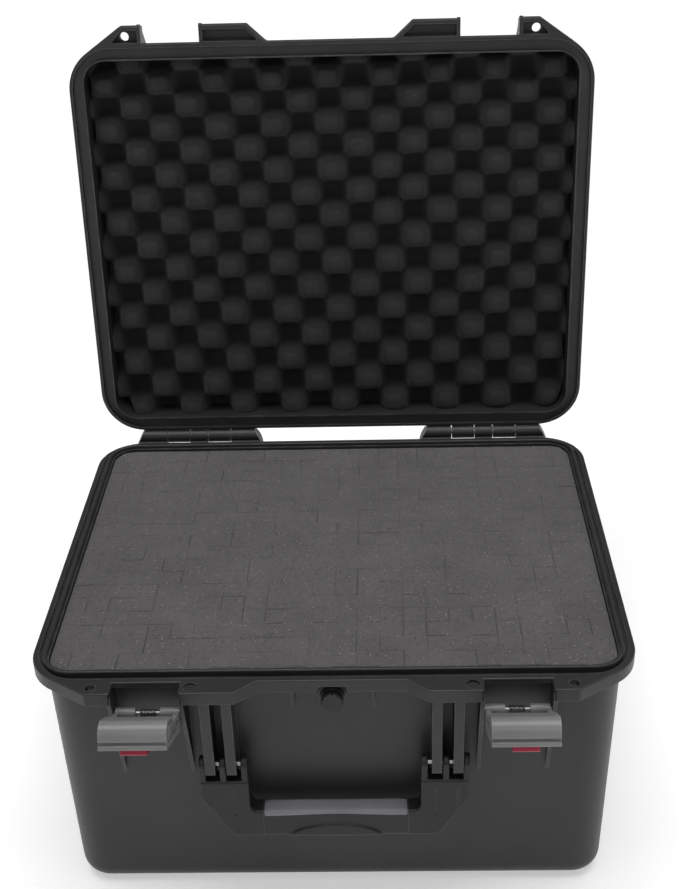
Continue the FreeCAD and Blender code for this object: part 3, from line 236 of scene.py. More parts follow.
def moulded_plastic(name, dark, light, edge_highlight, grain_mm, grain_depth, rough, shine):
    """Textured moulding: pebble grain, slow change of tone, and a painted highlight that pales the edges."""
    material, tree, shader, place = new_material(name, ior=1.49, specular_ior_level=shine)
    slow = add(tree, "ShaderNodeTexNoise", {"Vector": place, "Scale": per_mm(TONE_PATCH_MM),
                                            "Detail": 4.0}).outputs["Fac"]
    grain = add(tree, "ShaderNodeTexNoise", {"Vector": place, "Scale": per_mm(grain_mm), "Detail": 3.0,
                                             "Roughness": 0.6}).outputs["Fac"]
    tone = add(tree, "ShaderNodeValToRGB", {"Fac": slow},
               stops=[(0.32, linear(dark)), (0.70, linear(light))]).outputs["Color"]
    # painted highlight: where the bevel normal leaves the true one, the edge colour is mixed in, in patches
    rounded = add(tree, "ShaderNodeBevel", {"Radius": EDGE_HIGHLIGHT_MM * MM}, samples=4).outputs["Normal"]
    flat = add(tree, "ShaderNodeNewGeometry").outputs["Normal"]
    likeness = add(tree, "ShaderNodeVectorMath", {0: rounded, 1: flat},
                   operation="DOT_PRODUCT").outputs["Value"]
    edge = add(tree, "ShaderNodeMapRange", {"Value": likeness, "From Min": 0.995, "From Max": 0.90,
                                            "To Min": 0.0, "To Max": 1.0}).outputs["Result"]
    patches = add(tree, "ShaderNodeTexNoise", {"Vector": place, "Scale": per_mm(HIGHLIGHT_PATCH_MM),
                                               "Detail": 5.0}).outputs["Fac"]
    highlight_breakup = add(tree, "ShaderNodeMapRange", {"Value": patches, "From Min": 0.35, "From Max": 0.70,
                                               "To Min": 0.15, "To Max": 0.80}).outputs["Result"]
    edge_highlight_mask = add(tree, "ShaderNodeMath", {0: edge, 1: highlight_breakup}, operation="MULTIPLY").outputs["Value"]
    colour = add(tree, "ShaderNodeMix", {"Factor": edge_highlight_mask, COLOUR_A: tone, COLOUR_B: linear(edge_highlight)},
                 data_type="RGBA").outputs[MIXED]
    gloss = add(tree, "ShaderNodeMapRange", {
        "Value": grain, "From Min": 0.30, "From Max": 0.75,
        "To Min": rough - 0.07, "To Max": rough + 0.10}).outputs["Result"]
    bump = add(tree, "ShaderNodeBump", {"Height": grain, "Strength": 0.5, "Distance": grain_depth * MM})
    tree.links.new(colour, shader.inputs["Base Color"])
    tree.links.new(gloss, shader.inputs["Roughness"])
    tree.links.new(bump.outputs["Normal"], shader.inputs["Normal"])
    return material


# the fourth colour of each is the painted highlight laid on its edges
# the real grain is about 0.3 mm across, drawn at about 1 mm so that it shows
case_plastic = moulded_plastic("moulded polypropylene, spark-eroded", "#232222", "#2A2929", "#767474",
                               grain_mm=1.1, grain_depth=0.10, rough=0.42, shine=0.36)
handle_plastic = moulded_plastic("moulded polypropylene, handle", "#1A1A1A", "#202020", "#5A5A5A",
                                 grain_mm=1.0, grain_depth=0.06, rough=0.36, shine=0.26)
latch_plastic = moulded_plastic("moulded ABS, latch", "#6A6A6A", "#747474", "#A4A4A4",
                                grain_mm=0.9, grain_depth=0.05, rough=0.34, shine=0.38)
valve_plastic = moulded_plastic("moulded acetal, purge valve", "#232222", "#2A2929", "#4E4C4C",
                                grain_mm=0.8, grain_depth=0.04, rough=0.40, shine=0.26)
trigger_plastic = moulded_plastic("moulded red nylon, trigger", "#8A1E36", "#A62C46", "#C86478",
                                  grain_mm=0.8, grain_depth=0.04, rough=0.38, shine=0.38)
painted = paint(["base_shell", "lid_shell"], case_plastic)
painted += paint(["handle_frame"], handle_plastic)
painted += paint(["latch_body_left", "latch_body_right"], latch_plastic)
painted += paint(["purge_valve_body", "purge_valve_knob", "purge_valve_nut"], valve_plastic)
painted += paint(["latch_trigger_left", "latch_trigger_right"], trigger_plastic)
print("moulded plastics painted on", painted, "nodes")

# %% [markdown]
# ## Steel, rubber and the valve's membrane
# The pins are drawn stainless wire, with fine lines along their length. The springs are darker
# spring steel wire, wound cold. The seal is soft EPDM, dull with a faint bloom. The membrane is a
# felted white disc. Stretched noise makes the drawing lines, plain noise the bloom.

# %% Steel, rubber and membrane
DRAWN_LINE_MM, BLOOM_MM = 0.5, 30.0


def drawn_steel(name, colour, rough):
    """Bright wire: noise stretched along X, the way it was drawn."""
    material, tree, shader, place = new_material(name, base_color=linear(colour), metallic=1.0)
    along = add(tree, "ShaderNodeMapping", {"Vector": place, "Scale": (0.04, 1.0, 1.0)}).outputs["Vector"]
    lines = add(tree, "ShaderNodeTexNoise", {"Vector": along, "Scale": per_mm(DRAWN_LINE_MM),
                                             "Detail": 2.0}).outputs["Fac"]
    gloss = add(tree, "ShaderNodeMapRange", {
        "Value": lines, "From Min": 0.3, "From Max": 0.7,
        "To Min": rough - 0.08, "To Max": rough + 0.12}).outputs["Result"]
    bump = add(tree, "ShaderNodeBump", {"Height": lines, "Strength": 0.25, "Distance": 0.02 * MM})
    tree.links.new(gloss, shader.inputs["Roughness"])
    tree.links.new(bump.outputs["Normal"], shader.inputs["Normal"])
    return material


def soft_rubber(name, dark, light, rough, pore_mm):
    """Dull elastomer: a slow bloom over the colour and fine pores in the skin."""
    material, tree, shader, place = new_material(name, ior=1.52)
    bloom = add(tree, "ShaderNodeTexNoise", {"Vector": place, "Scale": per_mm(BLOOM_MM),
                                             "Detail": 6.0}).outputs["Fac"]
    tone = add(tree, "ShaderNodeValToRGB", {"Fac": bloom},
               stops=[(0.35, linear(dark)), (0.70, linear(light))]).outputs["Color"]
    pores = add(tree, "ShaderNodeTexNoise", {"Vector": place, "Scale": per_mm(pore_mm),
                                             "Detail": 2.0}).outputs["Fac"]
    gloss = add(tree, "ShaderNodeMapRange", {
        "Value": pores, "From Min": 0.3, "From Max": 0.7,
        "To Min": rough - 0.05, "To Max": rough + 0.08}).outputs["Result"]
    bump = add(tree, "ShaderNodeBump", {"Height": pores, "Strength": 0.35, "Distance": 0.05 * MM})
    tree.links.new(tone, shader.inputs["Base Color"])
    tree.links.new(gloss, shader.inputs["Roughness"])
    tree.links.new(bump.outputs["Normal"], shader.inputs["Normal"])
    return material


SIDES = ("left", "right")
pin_steel = drawn_steel("drawn stainless steel", "#9C9C9A", 0.30)
spring_steel = drawn_steel("cold-wound spring steel", "#6E6E6C", 0.36)
seal_rubber = soft_rubber("EPDM seal rubber", "#1F1F1F", "#2A2A2A", 0.58, 1.2)
grip_rubber = soft_rubber("moulded soft rubber, grip", "#66656B", "#706F75", 0.55, 0.9)
membrane_felt = soft_rubber("felted membrane", "#B8B8B2", "#D0D0CA", 0.85, 0.8)
pins = [f"{kind}_pin_{side}" for kind in ("hinge", "handle", "latch", "trigger") for side in SIDES]
painted = paint(pins, pin_steel)
painted += paint(["lid_gasket", "purge_valve_oring"], seal_rubber)
painted += paint(["purge_valve_membrane"], membrane_felt)
print("steel, rubber and membrane painted on", painted, "nodes")

# %% [markdown]
# ## Paper sweep
# The case stands on a wide sheet of white paper. Matt paper scatters light evenly, so under soft
# light it reads as an even white with a soft shadow. A trace of glow, stronger far from the
# case, stands in for the lamps that light a paper sweep's far end and keep it white.

# %% Floor finish
FIBRE_MM = 6.0
GLOW_FROM, GLOW_TO = 0.7, 2.6
sweep, tree, shader, place = new_material("matt white paper", roughness=0.9, specular_ior_level=0.2,
                                          emission_color=linear("#FFFFFF"))
fibre = add(tree, "ShaderNodeTexNoise", {"Vector": place, "Scale": per_mm(FIBRE_MM),
                                         "Detail": 5.0}).outputs["Fac"]
white = add(tree, "ShaderNodeValToRGB", {"Fac": fibre},
            stops=[(0.3, linear("#E3E3E2")), (0.7, linear("#EAEAEA"))]).outputs["Color"]
away = add(tree, "ShaderNodeVectorMath", {0: place}, operation="LENGTH").outputs["Value"]
glow = add(tree, "ShaderNodeMapRange", {"Value": away, "From Min": GLOW_FROM, "From Max": GLOW_TO,
                                        "To Min": 0.40, "To Max": 0.80}).outputs["Result"]
tree.links.new(white, shader.inputs["Base Color"])
tree.links.new(glow, shader.inputs["Emission Strength"])
floor.data.materials.append(sweep)
print("floor in", sweep.name)

# %% [markdown]
# ## The air round the set
# Past the panels and the paper there is only a dim room, which fills the shadows a little. Where
# the set's edge would show, a bright backdrop is hung instead. The world can be both: it lights
# the case faintly, and looks white to whoever sees it directly.

# %% Room light and backdrop
ROOM_LIGHT, BACKDROP = 0.18, 0.95
world = bpy.data.worlds.new("studio_air")
bpy.context.scene.world = world
world.use_nodes = True
tree = world.node_tree
seen = add(tree, "ShaderNodeLightPath").outputs["Is Camera Ray"]
strength = add(tree, "ShaderNodeMapRange", {"Value": seen, "From Min": 0.0, "From Max": 1.0,
                                            "To Min": ROOM_LIGHT, "To Max": BACKDROP}).outputs["Result"]
tree.nodes["Background"].inputs["Color"].default_value = (1.0, 1.0, 1.0, 1.0)
tree.links.new(strength, tree.nodes["Background"].inputs["Strength"])
print("room light", ROOM_LIGHT, "backdrop", BACKDROP)

# %% [markdown]
# ## Foam
# Both foams are polyurethane: a froth cut open by a knife, so the skin is a mass of tiny open
# cells. That kills all gloss and leaves a dark matt surface. Voronoi cells make the froth, with
# painted shade in each pit; a sparse second set paints a few cell walls as pale glints and as
# many as dark shadow specks. Light that enters a hollow hardly comes out again, so each piece
# stores how deep every point lies in an attribute, and the material paints that as shade.

# %% Foam materials
SHADOW_FLECK = "#1E1E1E"
CELL_MM, CELL_DEPTH_MM = 1.3, 0.30
STREAK_MM, FOAM_TONE_MM, FOAM_MOTTLE_MM = 1.1, 40.0, 4.0
GLINT_SPACING = 1.5


def greys(pairs):
    """Colour stops from pairs of a position and how much light is kept there."""
    return [(position, (kept, kept, kept, 1.0)) for position, kept in pairs]


def cut_foam(name, dark, light, glint_colour, speck_share, hollows):
    """Cut open-cell foam: Voronoi cells dent the skin, torn streaks cross it, painted glints and shadow
    specks dot it, and painted shade darkens the pits, and the hollows through their own pairs of
    depth and light kept."""
    material, tree, shader, place = new_material(name, ior=1.45, roughness=0.95, specular_ior_level=0.2,
                                                 sheen_weight=0.08, sheen_roughness=0.6)
    cells = add(tree, "ShaderNodeTexVoronoi", {"Vector": place, "Scale": per_mm(CELL_MM)}).outputs["Distance"]
    slow = add(tree, "ShaderNodeTexNoise", {"Vector": place, "Scale": per_mm(FOAM_TONE_MM),
                                            "Detail": 5.0}).outputs["Fac"]
    fine = add(tree, "ShaderNodeTexNoise", {"Vector": place, "Scale": per_mm(FOAM_MOTTLE_MM), "Detail": 4.0,
                                            "Roughness": 0.75}).outputs["Fac"]
    tone = add(tree, "ShaderNodeMath", {0: slow, 1: fine}, operation="ADD").outputs["Value"]
    middle = add(tree, "ShaderNodeMath", {0: tone, 1: 0.5}, operation="MULTIPLY").outputs["Value"]
    base = add(tree, "ShaderNodeValToRGB", {"Fac": middle},
               stops=[(0.30, linear(dark)), (0.70, linear(light))]).outputs["Color"]
    # painted shade: each cell is darker towards its middle, as shade in a pit
    pits = add(tree, "ShaderNodeValToRGB", {"Fac": cells},
               stops=greys([(0.10, 0.55), (0.42, 1.0)])).outputs["Color"]
    # painted shade by depth: the hollows pairs tell how much light is kept at each depth
    depth = add(tree, "ShaderNodeAttribute", attribute_name="depth").outputs["Fac"]
    shade = add(tree, "ShaderNodeValToRGB", {"Fac": depth}, stops=greys(hollows)).outputs["Color"]
    torn = greys([(0.27, 0.62), (0.36, 1.0), (0.66, 1.0), (0.74, 1.3)])
    layers = [pits, shade]
    for stretch in ((0.12, 1.0, 1.0), (1.0, 0.12, 1.0)):
        along = add(tree, "ShaderNodeMapping", {"Vector": place, "Scale": stretch}).outputs["Vector"]
        streak = add(tree, "ShaderNodeTexNoise", {"Vector": along, "Scale": per_mm(STREAK_MM), "Detail": 2.0})
        layers.append(add(tree, "ShaderNodeValToRGB", {"Fac": streak.outputs["Fac"]},
                          stops=torn).outputs["Color"])
    coloured = base
    for layer in layers:
        coloured = add(tree, "ShaderNodeMix", {"Factor": 1.0, COLOUR_A: coloured, COLOUR_B: layer},
                       data_type="RGBA", blend_type="MULTIPLY").outputs[MIXED]
    glints = add(tree, "ShaderNodeTexVoronoi", {"Vector": place, "Scale": per_mm(CELL_MM * GLINT_SPACING)})
    pick = add(tree, "ShaderNodeSeparateColor", {"Color": glints.outputs["Color"]}).outputs["Red"]
    near = add(tree, "ShaderNodeMapRange", {
        "Value": glints.outputs["Distance"], "From Min": 0.34, "From Max": 0.20,
        "To Min": 0.0, "To Max": 1.0}).outputs["Result"]
    # painted glints: a few cells take the pale glint colour, and as many the dark painted shadow speck
    for chosen, shown in ((1.0, glint_colour), (0.0, SHADOW_FLECK)):
        wanted = add(tree, "ShaderNodeMath", {0: pick, 1: chosen, 2: speck_share},
                     operation="COMPARE").outputs["Value"]
        spot = add(tree, "ShaderNodeMath", {0: wanted, 1: near}, operation="MULTIPLY").outputs["Value"]
        coloured = add(tree, "ShaderNodeMix", {"Factor": spot, COLOUR_A: coloured, COLOUR_B: linear(shown)},
                       data_type="RGBA").outputs[MIXED]
    bump = add(tree, "ShaderNodeBump", {"Height": cells, "Strength": 0.7, "Distance": CELL_DEPTH_MM * MM})
    tree.links.new(coloured, shader.inputs["Base Color"])
    tree.links.new(bump.outputs["Normal"], shader.inputs["Normal"])
    return material


# real cells are about 0.8 mm across in both foams, drawn at 1.3 mm so that they show
# hollows: painted shade, as pairs of depth and light kept; the glint colour is the third colour
cubed_foam_skin = cut_foam("cut polyurethane foam, charcoal", "#494747", "#595757", "#86837F",
                           speck_share=0.05, hollows=[(0.0, 1.0), (1.0, 0.62)])
egg_crate_skin = cut_foam("cut polyurethane foam, black", "#262626", "#2E2E2E", "#484848",
                          speck_share=0.006, hollows=[(0.0, 1.0), (0.035, 0.95), (0.11, 0.48), (1.0, 0.72)])
print("two foams, cells drawn", CELL_MM, "mm across")

# %% [markdown]
# ## Shapes for foam pads
# Every foam pad here is a box with round corners in plan and one worked face. The worked face
# is a grid, bent at its corners onto the round plan, and the sides are rings that copy the
# grid's border. A fan of triangles closes the flat back, so the pad is watertight.

# %% Foam pad helpers
def rounded_plan(x, y, half_x, half_y, radius):
    """Bend the corners of a rectangular grid onto arcs: inside each corner square, with a and b
    from 0 to 1, a becomes a * sqrt(1 - b*b/2) and b becomes b * sqrt(1 - a*a/2)."""
    a = np.clip(np.abs(x) - (half_x - radius), 0, radius) / radius
    b = np.clip(np.abs(y) - (half_y - radius), 0, radius) / radius
    new_x = np.sign(x) * (np.minimum(np.abs(x), half_x - radius) + radius * a * np.sqrt(1 - b * b / 2))
    new_y = np.sign(y) * (np.minimum(np.abs(y), half_y - radius) + radius * b * np.sqrt(1 - a * a / 2))
    return new_x, new_y


def grid_faces(rows, columns):
    """Quads of a grid of points, numbered row by row."""
    corner = np.arange(rows * columns).reshape(rows, columns)
    return np.stack([corner[:-1, :-1], corner[:-1, 1:], corner[1:, 1:], corner[1:, :-1]], -1).reshape(-1, 4)


def border(grid):
    """Entries once round the edge of a grid, in order."""
    return np.concatenate([grid[0, :-1], grid[:-1, -1], grid[-1, :0:-1], grid[:0:-1, 0]])


def band(upper, lower):
    """Quads between two rings of point numbers."""
    return np.stack([upper, lower, np.roll(lower, -1), np.roll(upper, -1)], -1)


def closed_pad(name, top, rings):
    """Closed solid: a grid for the worked face, rings of points down its sides, and a fan from
    the last ring to its middle point."""
    rows, columns = top.shape[:2]
    numbers = [border(np.arange(rows * columns).reshape(rows, columns))]
    count = rows * columns
    for ring in rings:
        numbers.append(count + np.arange(len(ring)))
        count += len(ring)
    points = np.concatenate([top.reshape(-1, 3), *rings, rings[-1].mean(0)[None]])
    bands = [band(upper, lower) for upper, lower in zip(numbers, numbers[1:])]
    quads = np.concatenate([grid_faces(rows, columns)] + bands)
    last = numbers[-1]
    fan = np.stack([last, np.full_like(last, count), np.roll(last, -1)], -1)
    return new_object(name, points, quads.tolist() + fan.tolist())


def side_rings(outline, places):
    """Rings down a pad's sides: the outline scaled about the middle and laid at a height, for each
    pair of scale and height."""
    return [np.column_stack([outline * scale, np.full(len(outline), z)]) for scale, z in places]


def store_depth(piece, top_depth):
    """Keep how deep each point of the worked face lies, from 0 to 1; the sides count as deep."""
    values = np.ones(len(piece.data.vertices))
    values[:top_depth.size] = np.clip(top_depth.ravel(), 0, 1)
    piece.data.attributes.new("depth", "FLOAT", "POINT").data.foreach_set("value", values)


def finish_piece(piece, material, body, sharp_angle=40.0):
    """Smooth shading with sharp edges kept past an angle, a material and a body."""
    piece.data.materials.append(material)
    piece.data.shade_smooth()
    piece.data.set_sharp_from_angle(angle=math.radians(sharp_angle))
    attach(piece, body)
    return piece


# %% [markdown]
# ## The cubed foam block
# The block is scored almost through into a grid of cubes, so that a hand can pluck out the shape
# of a tool. The cuts are knife thin and mostly close again, so only stretches of them show, and
# each cube's top sits a hair high or low. A texture could draw the lines, but they would stay
# flat at a grazing light, so the top is a height field: a grid that is finer beside every cut,
# with a dip there whose depth differs from one cube's side to the next.

# %% Cubed foam block
CUBE = 18.4 * MM
CUT_DEPTH = 0.9 * MM
CUT_HALF_WIDTH = 0.40 * MM
LEAST_OPEN = 0.05
CUBE_RISE = 0.05 * MM
CUBE_SLOPE = 0.005
CLEAR_OF_EDGE = 1.5 * MM
TOP_BELOW_BOX, EDGE_SAG, EDGE_SAG_WIDTH = 0.4 * MM, 1.2 * MM, 2.0 * MM
BODY_DRAFT = math.radians(1.3)
FOAM_CORNER = 19.0 * MM
# cubes are numbered from the block's middle, and each table of random values has room for 20 each way
TABLE_MIDDLE = 20
TABLE_SIZE = 2 * TABLE_MIDDLE + 1
low, high = (np.array(corner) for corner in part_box("base_foam_block"))
cell_steps = np.array([0.0, 0.022, 0.05, 0.12, 0.30, 0.50, 0.70, 0.88, 0.95, 0.978])


def cube_lines(half):
    """Grid positions over a width: ten in each cube, close together beside the cuts."""
    count = int(half / CUBE) + 1
    starts = np.arange(-count, count) * CUBE
    lines = (starts[:, None] + cell_steps[None, :] * CUBE).ravel()
    return np.concatenate([[-half], lines[np.abs(lines) < half - CLEAR_OF_EDGE], [half]])


def cubed_top(x, y, rng):
    """Height of the scored top: each cut is a dip exp(-(d/w)^2) of the distance d to the nearest
    cube line, as deep as that side of that cube is open, and each cube adds its own rise and its
    own slope across x and y."""
    to_x = np.abs((x / CUBE + 0.5) % 1.0 - 0.5) * CUBE
    to_y = np.abs((y / CUBE + 0.5) % 1.0 - 0.5) * CUBE
    column, row = (np.floor(v / CUBE).astype(int) + TABLE_MIDDLE for v in (x, y))
    line_x, line_y = (np.round(v / CUBE).astype(int) + TABLE_MIDDLE for v in (x, y))
    open_x, open_y = rng.uniform(0, 1, (2, TABLE_SIZE, TABLE_SIZE)) ** 3 * (1 - LEAST_OPEN) + LEAST_OPEN
    dip = open_x[line_x, row] * np.exp(-(to_x / CUT_HALF_WIDTH) ** 2)
    dip = np.maximum(dip, open_y[line_y, column] * np.exp(-(to_y / CUT_HALF_WIDTH) ** 2))
    rise, slope_x, slope_y = rng.normal(0.0, 1.0, (3, TABLE_SIZE, TABLE_SIZE))[:, row, column]
    inside_x, inside_y = (x / CUBE) % 1.0 - 0.5, (y / CUBE) % 1.0 - 0.5
    level = CUBE_RISE * rise + CUBE_SLOPE * CUBE * (slope_x * inside_x + slope_y * inside_y)
    return level - CUT_DEPTH * dip, dip


random_cubes = np.random.default_rng(SEED)
x, y = np.meshgrid(cube_lines(high[0]), cube_lines(high[1]))
relief, opened = cubed_top(x, y, random_cubes)
edge = np.minimum(high[0] - np.abs(x), high[1] - np.abs(y))
sag = np.clip(1 - edge / EDGE_SAG_WIDTH, 0, 1) ** 2
top_z = high[2] - TOP_BELOW_BOX + relief - EDGE_SAG * sag
plan_x, plan_y = rounded_plan(x, y, high[0], high[1], FOAM_CORNER)
outline = border(np.stack([plan_x, plan_y], -1))
foot = 1 - (high[2] - low[2]) * math.tan(BODY_DRAFT) / high[0]
cubed = closed_pad("cubed_foam", np.stack([plan_x, plan_y, top_z], -1), side_rings(
    outline, [(1.0, high[2] - 4 * MM), (foot, low[2] + 2 * MM), (foot * 0.996, low[2])]))
# painted shade: the cuts darken by how far they are open, and the block's sides count as deep
store_depth(cubed, opened)
finish_piece(cubed, cubed_foam_skin, "base", sharp_angle=60.0)
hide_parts("base_foam_block")
print("cubed foam:", len(cubed.data.polygons), "faces,", round(CUBE / MM, 1), "mm cubes")

# %% [markdown]
# ## The foam floor pad
# Under the cubes lies a plain sheet that shields the floor of the case. It only shows when the
# cubes are lifted out, but it is foam all the same, so it gets the same pad shape: a flat face
# with edges that sag a little where the knife left them.

# %% Floor pad
PAD_COLUMNS, PAD_ROWS = 60, 48
PAD_BELOW_BOX, PAD_SAG, PAD_SAG_WIDTH = 0.2 * MM, 0.8 * MM, 4.0 * MM
low, high = (np.array(corner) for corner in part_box("base_foam_floor_pad"))
x, y = np.meshgrid(np.linspace(low[0], high[0], PAD_COLUMNS), np.linspace(low[1], high[1], PAD_ROWS))
edge = np.minimum(high[0] - np.abs(x), high[1] - np.abs(y))
sag = np.clip(1 - edge / PAD_SAG_WIDTH, 0, 1) ** 2
plan_x, plan_y = rounded_plan(x, y, high[0], high[1], FOAM_CORNER)
outline = border(np.stack([plan_x, plan_y], -1))
top_z = high[2] - PAD_BELOW_BOX - PAD_SAG * sag
floor_pad = closed_pad("foam_floor_pad", np.stack([plan_x, plan_y, top_z], -1), side_rings(
    outline, [(0.999, low[2] + 9 * MM), (0.985, low[2] + 3 * MM), (0.965, low[2])]))
# painted shade: the sagging edges darken, and the pad's sides count as deep
store_depth(floor_pad, sag)
finish_piece(floor_pad, cubed_foam_skin, "base", sharp_angle=60.0)
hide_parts("base_foam_floor_pad")
print("floor pad:", len(floor_pad.data.polygons), "faces")

# %% [markdown]
# ## The egg-crate foam in the lid
# Convoluted foam is cut by squeezing a slab between toothed rollers past a blade. The blade
# leaves a chequerboard of blunt square peaks and square hollows. The product of two cosines
# has exactly this layout, and its zero lines are the squares' sides. A tanh of it flattens the
# peaks and the hollows and steepens the slopes between. The sheet was glued in a little askew
# and stretched towards its lower edge. It is worked out shut and then turned with the lid.

# %% Egg-crate foam
PEAK_PITCH = 50.0 * MM
ROW_PITCH = 20.3 * MM
ROW_GROWTH = 0.16 * MM
FIRST_ROW = -151.5 * MM
SKEW = math.radians(-1.4)
CRATE_DEPTH = 24.0 * MM
BLUNTNESS = 1.6
SQUARENESS = 1.3
WAVER_SINES, WAVER_RATES, WAVER_STARTS = 5, (15, 60), (0, 6)
ACROSS_WAVER, ROW_WAVER = 0.3 * MM, 0.012
CRATE_COLUMNS, CRATE_ROWS = 236, 186
PEAKS_BELOW_BOX = 0.3 * MM
lid_hinge = next(joint for joint in frame["joints"] if joint["name"] == "lid_hinge")
OPEN_ANGLE = lid_hinge["range_deg"][1]
HINGE = np.array(lid_hinge["pos_m"])


def turn_with_lid(points, angle):
    """Turn points about the lid's hinge line, which runs along X, by an angle in degrees."""
    c, s = math.cos(math.radians(angle)), math.sin(math.radians(angle))
    y, z = points[..., 1] - HINGE[1], points[..., 2] - HINGE[2]
    return np.stack([points[..., 0], HINGE[1] + c * y - s * z, HINGE[2] + s * y + c * z], -1)


def node_points(name):
    """All vertex positions of a CAD node, as an array."""
    mesh = NODES[name].data
    values = np.empty(len(mesh.vertices) * 3)
    mesh.vertices.foreach_get("co", values)
    return values.reshape(-1, 3)


def egg_crate(x, y, rng):
    """Depth from 0 on the peaks to 1 in the hollows: half of 1 - T(a b), where T(w) is tanh(k w) /
    tanh(k), a is T(cos(2 pi x / pitch)) and b is T(cos(pi n)), with n the row that y falls in. The
    rows grow wider by an equal step each, and a few slow sines make the peaks uneven."""
    across = x * math.cos(SKEW) + y * math.sin(SKEW)
    along = y * math.cos(SKEW) - x * math.sin(SKEW)
    waver = sum(np.sin(rng.uniform(*WAVER_RATES) * x + rng.uniform(*WAVER_RATES) * y
                       + rng.uniform(*WAVER_STARTS)) for _ in range(WAVER_SINES))
    rooted = np.maximum(ROW_PITCH ** 2 + 4 * ROW_GROWTH * (along - FIRST_ROW), 0)
    row = (np.sqrt(rooted) - ROW_PITCH) / (2 * ROW_GROWTH)
    wave_across = np.cos(2 * np.pi * (across + ACROSS_WAVER * waver) / PEAK_PITCH)
    wave_along = np.cos(np.pi * (row + ROW_WAVER * waver))
    square = [np.tanh(SQUARENESS * w) / math.tanh(SQUARENESS) for w in (wave_across, wave_along)]
    return 0.5 - 0.5 * np.tanh(BLUNTNESS * square[0] * square[1]) / math.tanh(BLUNTNESS)


shut = turn_with_lid(node_points("lid_foam"), OPEN_ANGLE)
low, high = shut.min(0), shut.max(0)
# the face looks down when the lid is shut, so x runs backwards to keep the faces outward
random_peaks = np.random.default_rng(SEED + 1)
x, y = np.meshgrid(np.linspace(high[0], low[0], CRATE_COLUMNS), np.linspace(low[1], high[1], CRATE_ROWS))
hollow = egg_crate(x, y, random_peaks)
plan_x, plan_y = rounded_plan(x, y, high[0], high[1], FOAM_CORNER)
face = np.stack([plan_x, plan_y, low[2] + PEAKS_BELOW_BOX + CRATE_DEPTH * hollow], -1)
outline = border(np.stack([plan_x, plan_y], -1))
sides = side_rings(outline, [(0.998, low[2] + CRATE_DEPTH + 2 * MM), (0.985, high[2] - 6 * MM),
                             (0.955, high[2] - 0.2 * MM)])
crate = closed_pad("egg_crate_foam", turn_with_lid(face, -OPEN_ANGLE),
                   [turn_with_lid(ring, -OPEN_ANGLE) for ring in sides])
# painted shade: the hollows between the peaks darken, and the sheet's sides count as deep
store_depth(crate, hollow)
finish_piece(crate, egg_crate_skin, "lid", sharp_angle=60.0)
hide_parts("lid_foam")
print("egg-crate foam:", len(crate.data.polygons), "faces, peaks", round(PEAK_PITCH / MM), "mm apart")

# %% [markdown]
# ## Tubes with closed ends
# The grip and the springs are all one idea: a ring of points carried along a path. When the
# rings turn counter-clockwise about the way the path goes, the quads between them face out.
# Strips of quads across the first and the last ring close the ends.

# %% Closed tube
def closed_tube(name, rings):
    """Closed solid from an array of rings, one row each, counter-clockwise about their path. Strips
    between point j and the point as far back from the ring's end close both ends."""
    count, around = rings.shape[:2]
    number = np.arange(count * around).reshape(count, around)
    beside = np.roll(number, -1, axis=1)
    walls = np.stack([number[:-1], beside[:-1], beside[1:], number[1:]], -1).reshape(-1, 4)
    j = np.arange(around // 2 - 1)
    strip = np.stack([j, j + 1, around - 2 - j, around - 1 - j], -1)
    faces = np.concatenate([walls, number[0][strip[:, ::-1]], number[-1][strip]])
    return new_object(name, rings.reshape(-1, 3), faces.tolist())


# %% [markdown]
# ## The handle's grip
# The grip has two mouldings. The body is the same hard plastic as the handle and runs flush
# with it, with a low oval swell in front where the fingers curl under. Over its top and back
# lies a strip of soft rubber, which is what the palm feels. Two primitive boxes with bevels
# would lose the swell and the strip's edge, so both are profiles carried along X whose offset
# from the bar's own outline changes along the way.

# %% Outline of the bar
grip_low, grip_high = (np.array(corner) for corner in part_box("handle_grip"))
frame_low, frame_high = (np.array(corner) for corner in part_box("handle_frame"))
BAR_MIDDLE_Y = (frame_low[1] + frame_high[1]) / 2
BAR_HALF_Y = (frame_high[1] - frame_low[1]) / 2
BAR_ROUND = 3.0 * MM
PAD_RISE = 0.7 * MM
BAR_TOP = grip_high[2] - PAD_RISE
QUARTER = 13


def bar_outline(half_y, bottom, top, radius):
    """Rounded rectangle round the bar, from below over the front: four quarter arcs whose ends are
    joined by straight runs. Gives the length so far, the points (y, z) and the outward normals."""
    quarter = np.linspace(0, math.pi / 2, QUARTER)
    turn = -(np.arange(1, 5)[:, None] * math.pi / 2 + quarter)
    normals = np.stack([np.cos(turn), np.sin(turn)], -1)
    to_front = np.array([-1, -1, 1, 1]) * (half_y - radius)
    to_top = np.array([-1, 1, 1, -1]) * ((top - bottom) / 2 - radius)
    centres = np.stack([to_front, to_top], -1) + [BAR_MIDDLE_Y, (top + bottom) / 2]
    points = (centres[:, None] + radius * normals).reshape(-1, 2)
    points, normals = (np.concatenate([a, a[:1]]) for a in (points, normals.reshape(-1, 2)))
    length = np.concatenate([[0], np.cumsum(np.linalg.norm(np.diff(points, axis=0), axis=1))])
    return length, points, normals


def on_outline(outline, distance):
    """Points and normals of an outline at these distances along it."""
    length, points, normals = outline
    return [np.stack([np.interp(distance, length, column) for column in a.T], -1) for a in (points, normals)]


bar = bar_outline(BAR_HALF_Y, grip_low[2], BAR_TOP, BAR_ROUND)
print("bar outline", round(bar[0][-1] / MM, 1), "mm round")

# %% Grip body
SWELL_HALF_X = 38.0 * MM
SWELL_HEIGHT = 13.0 * MM
SWELL_RISE = 1.6 * MM
SWELL_EDGE = 0.09


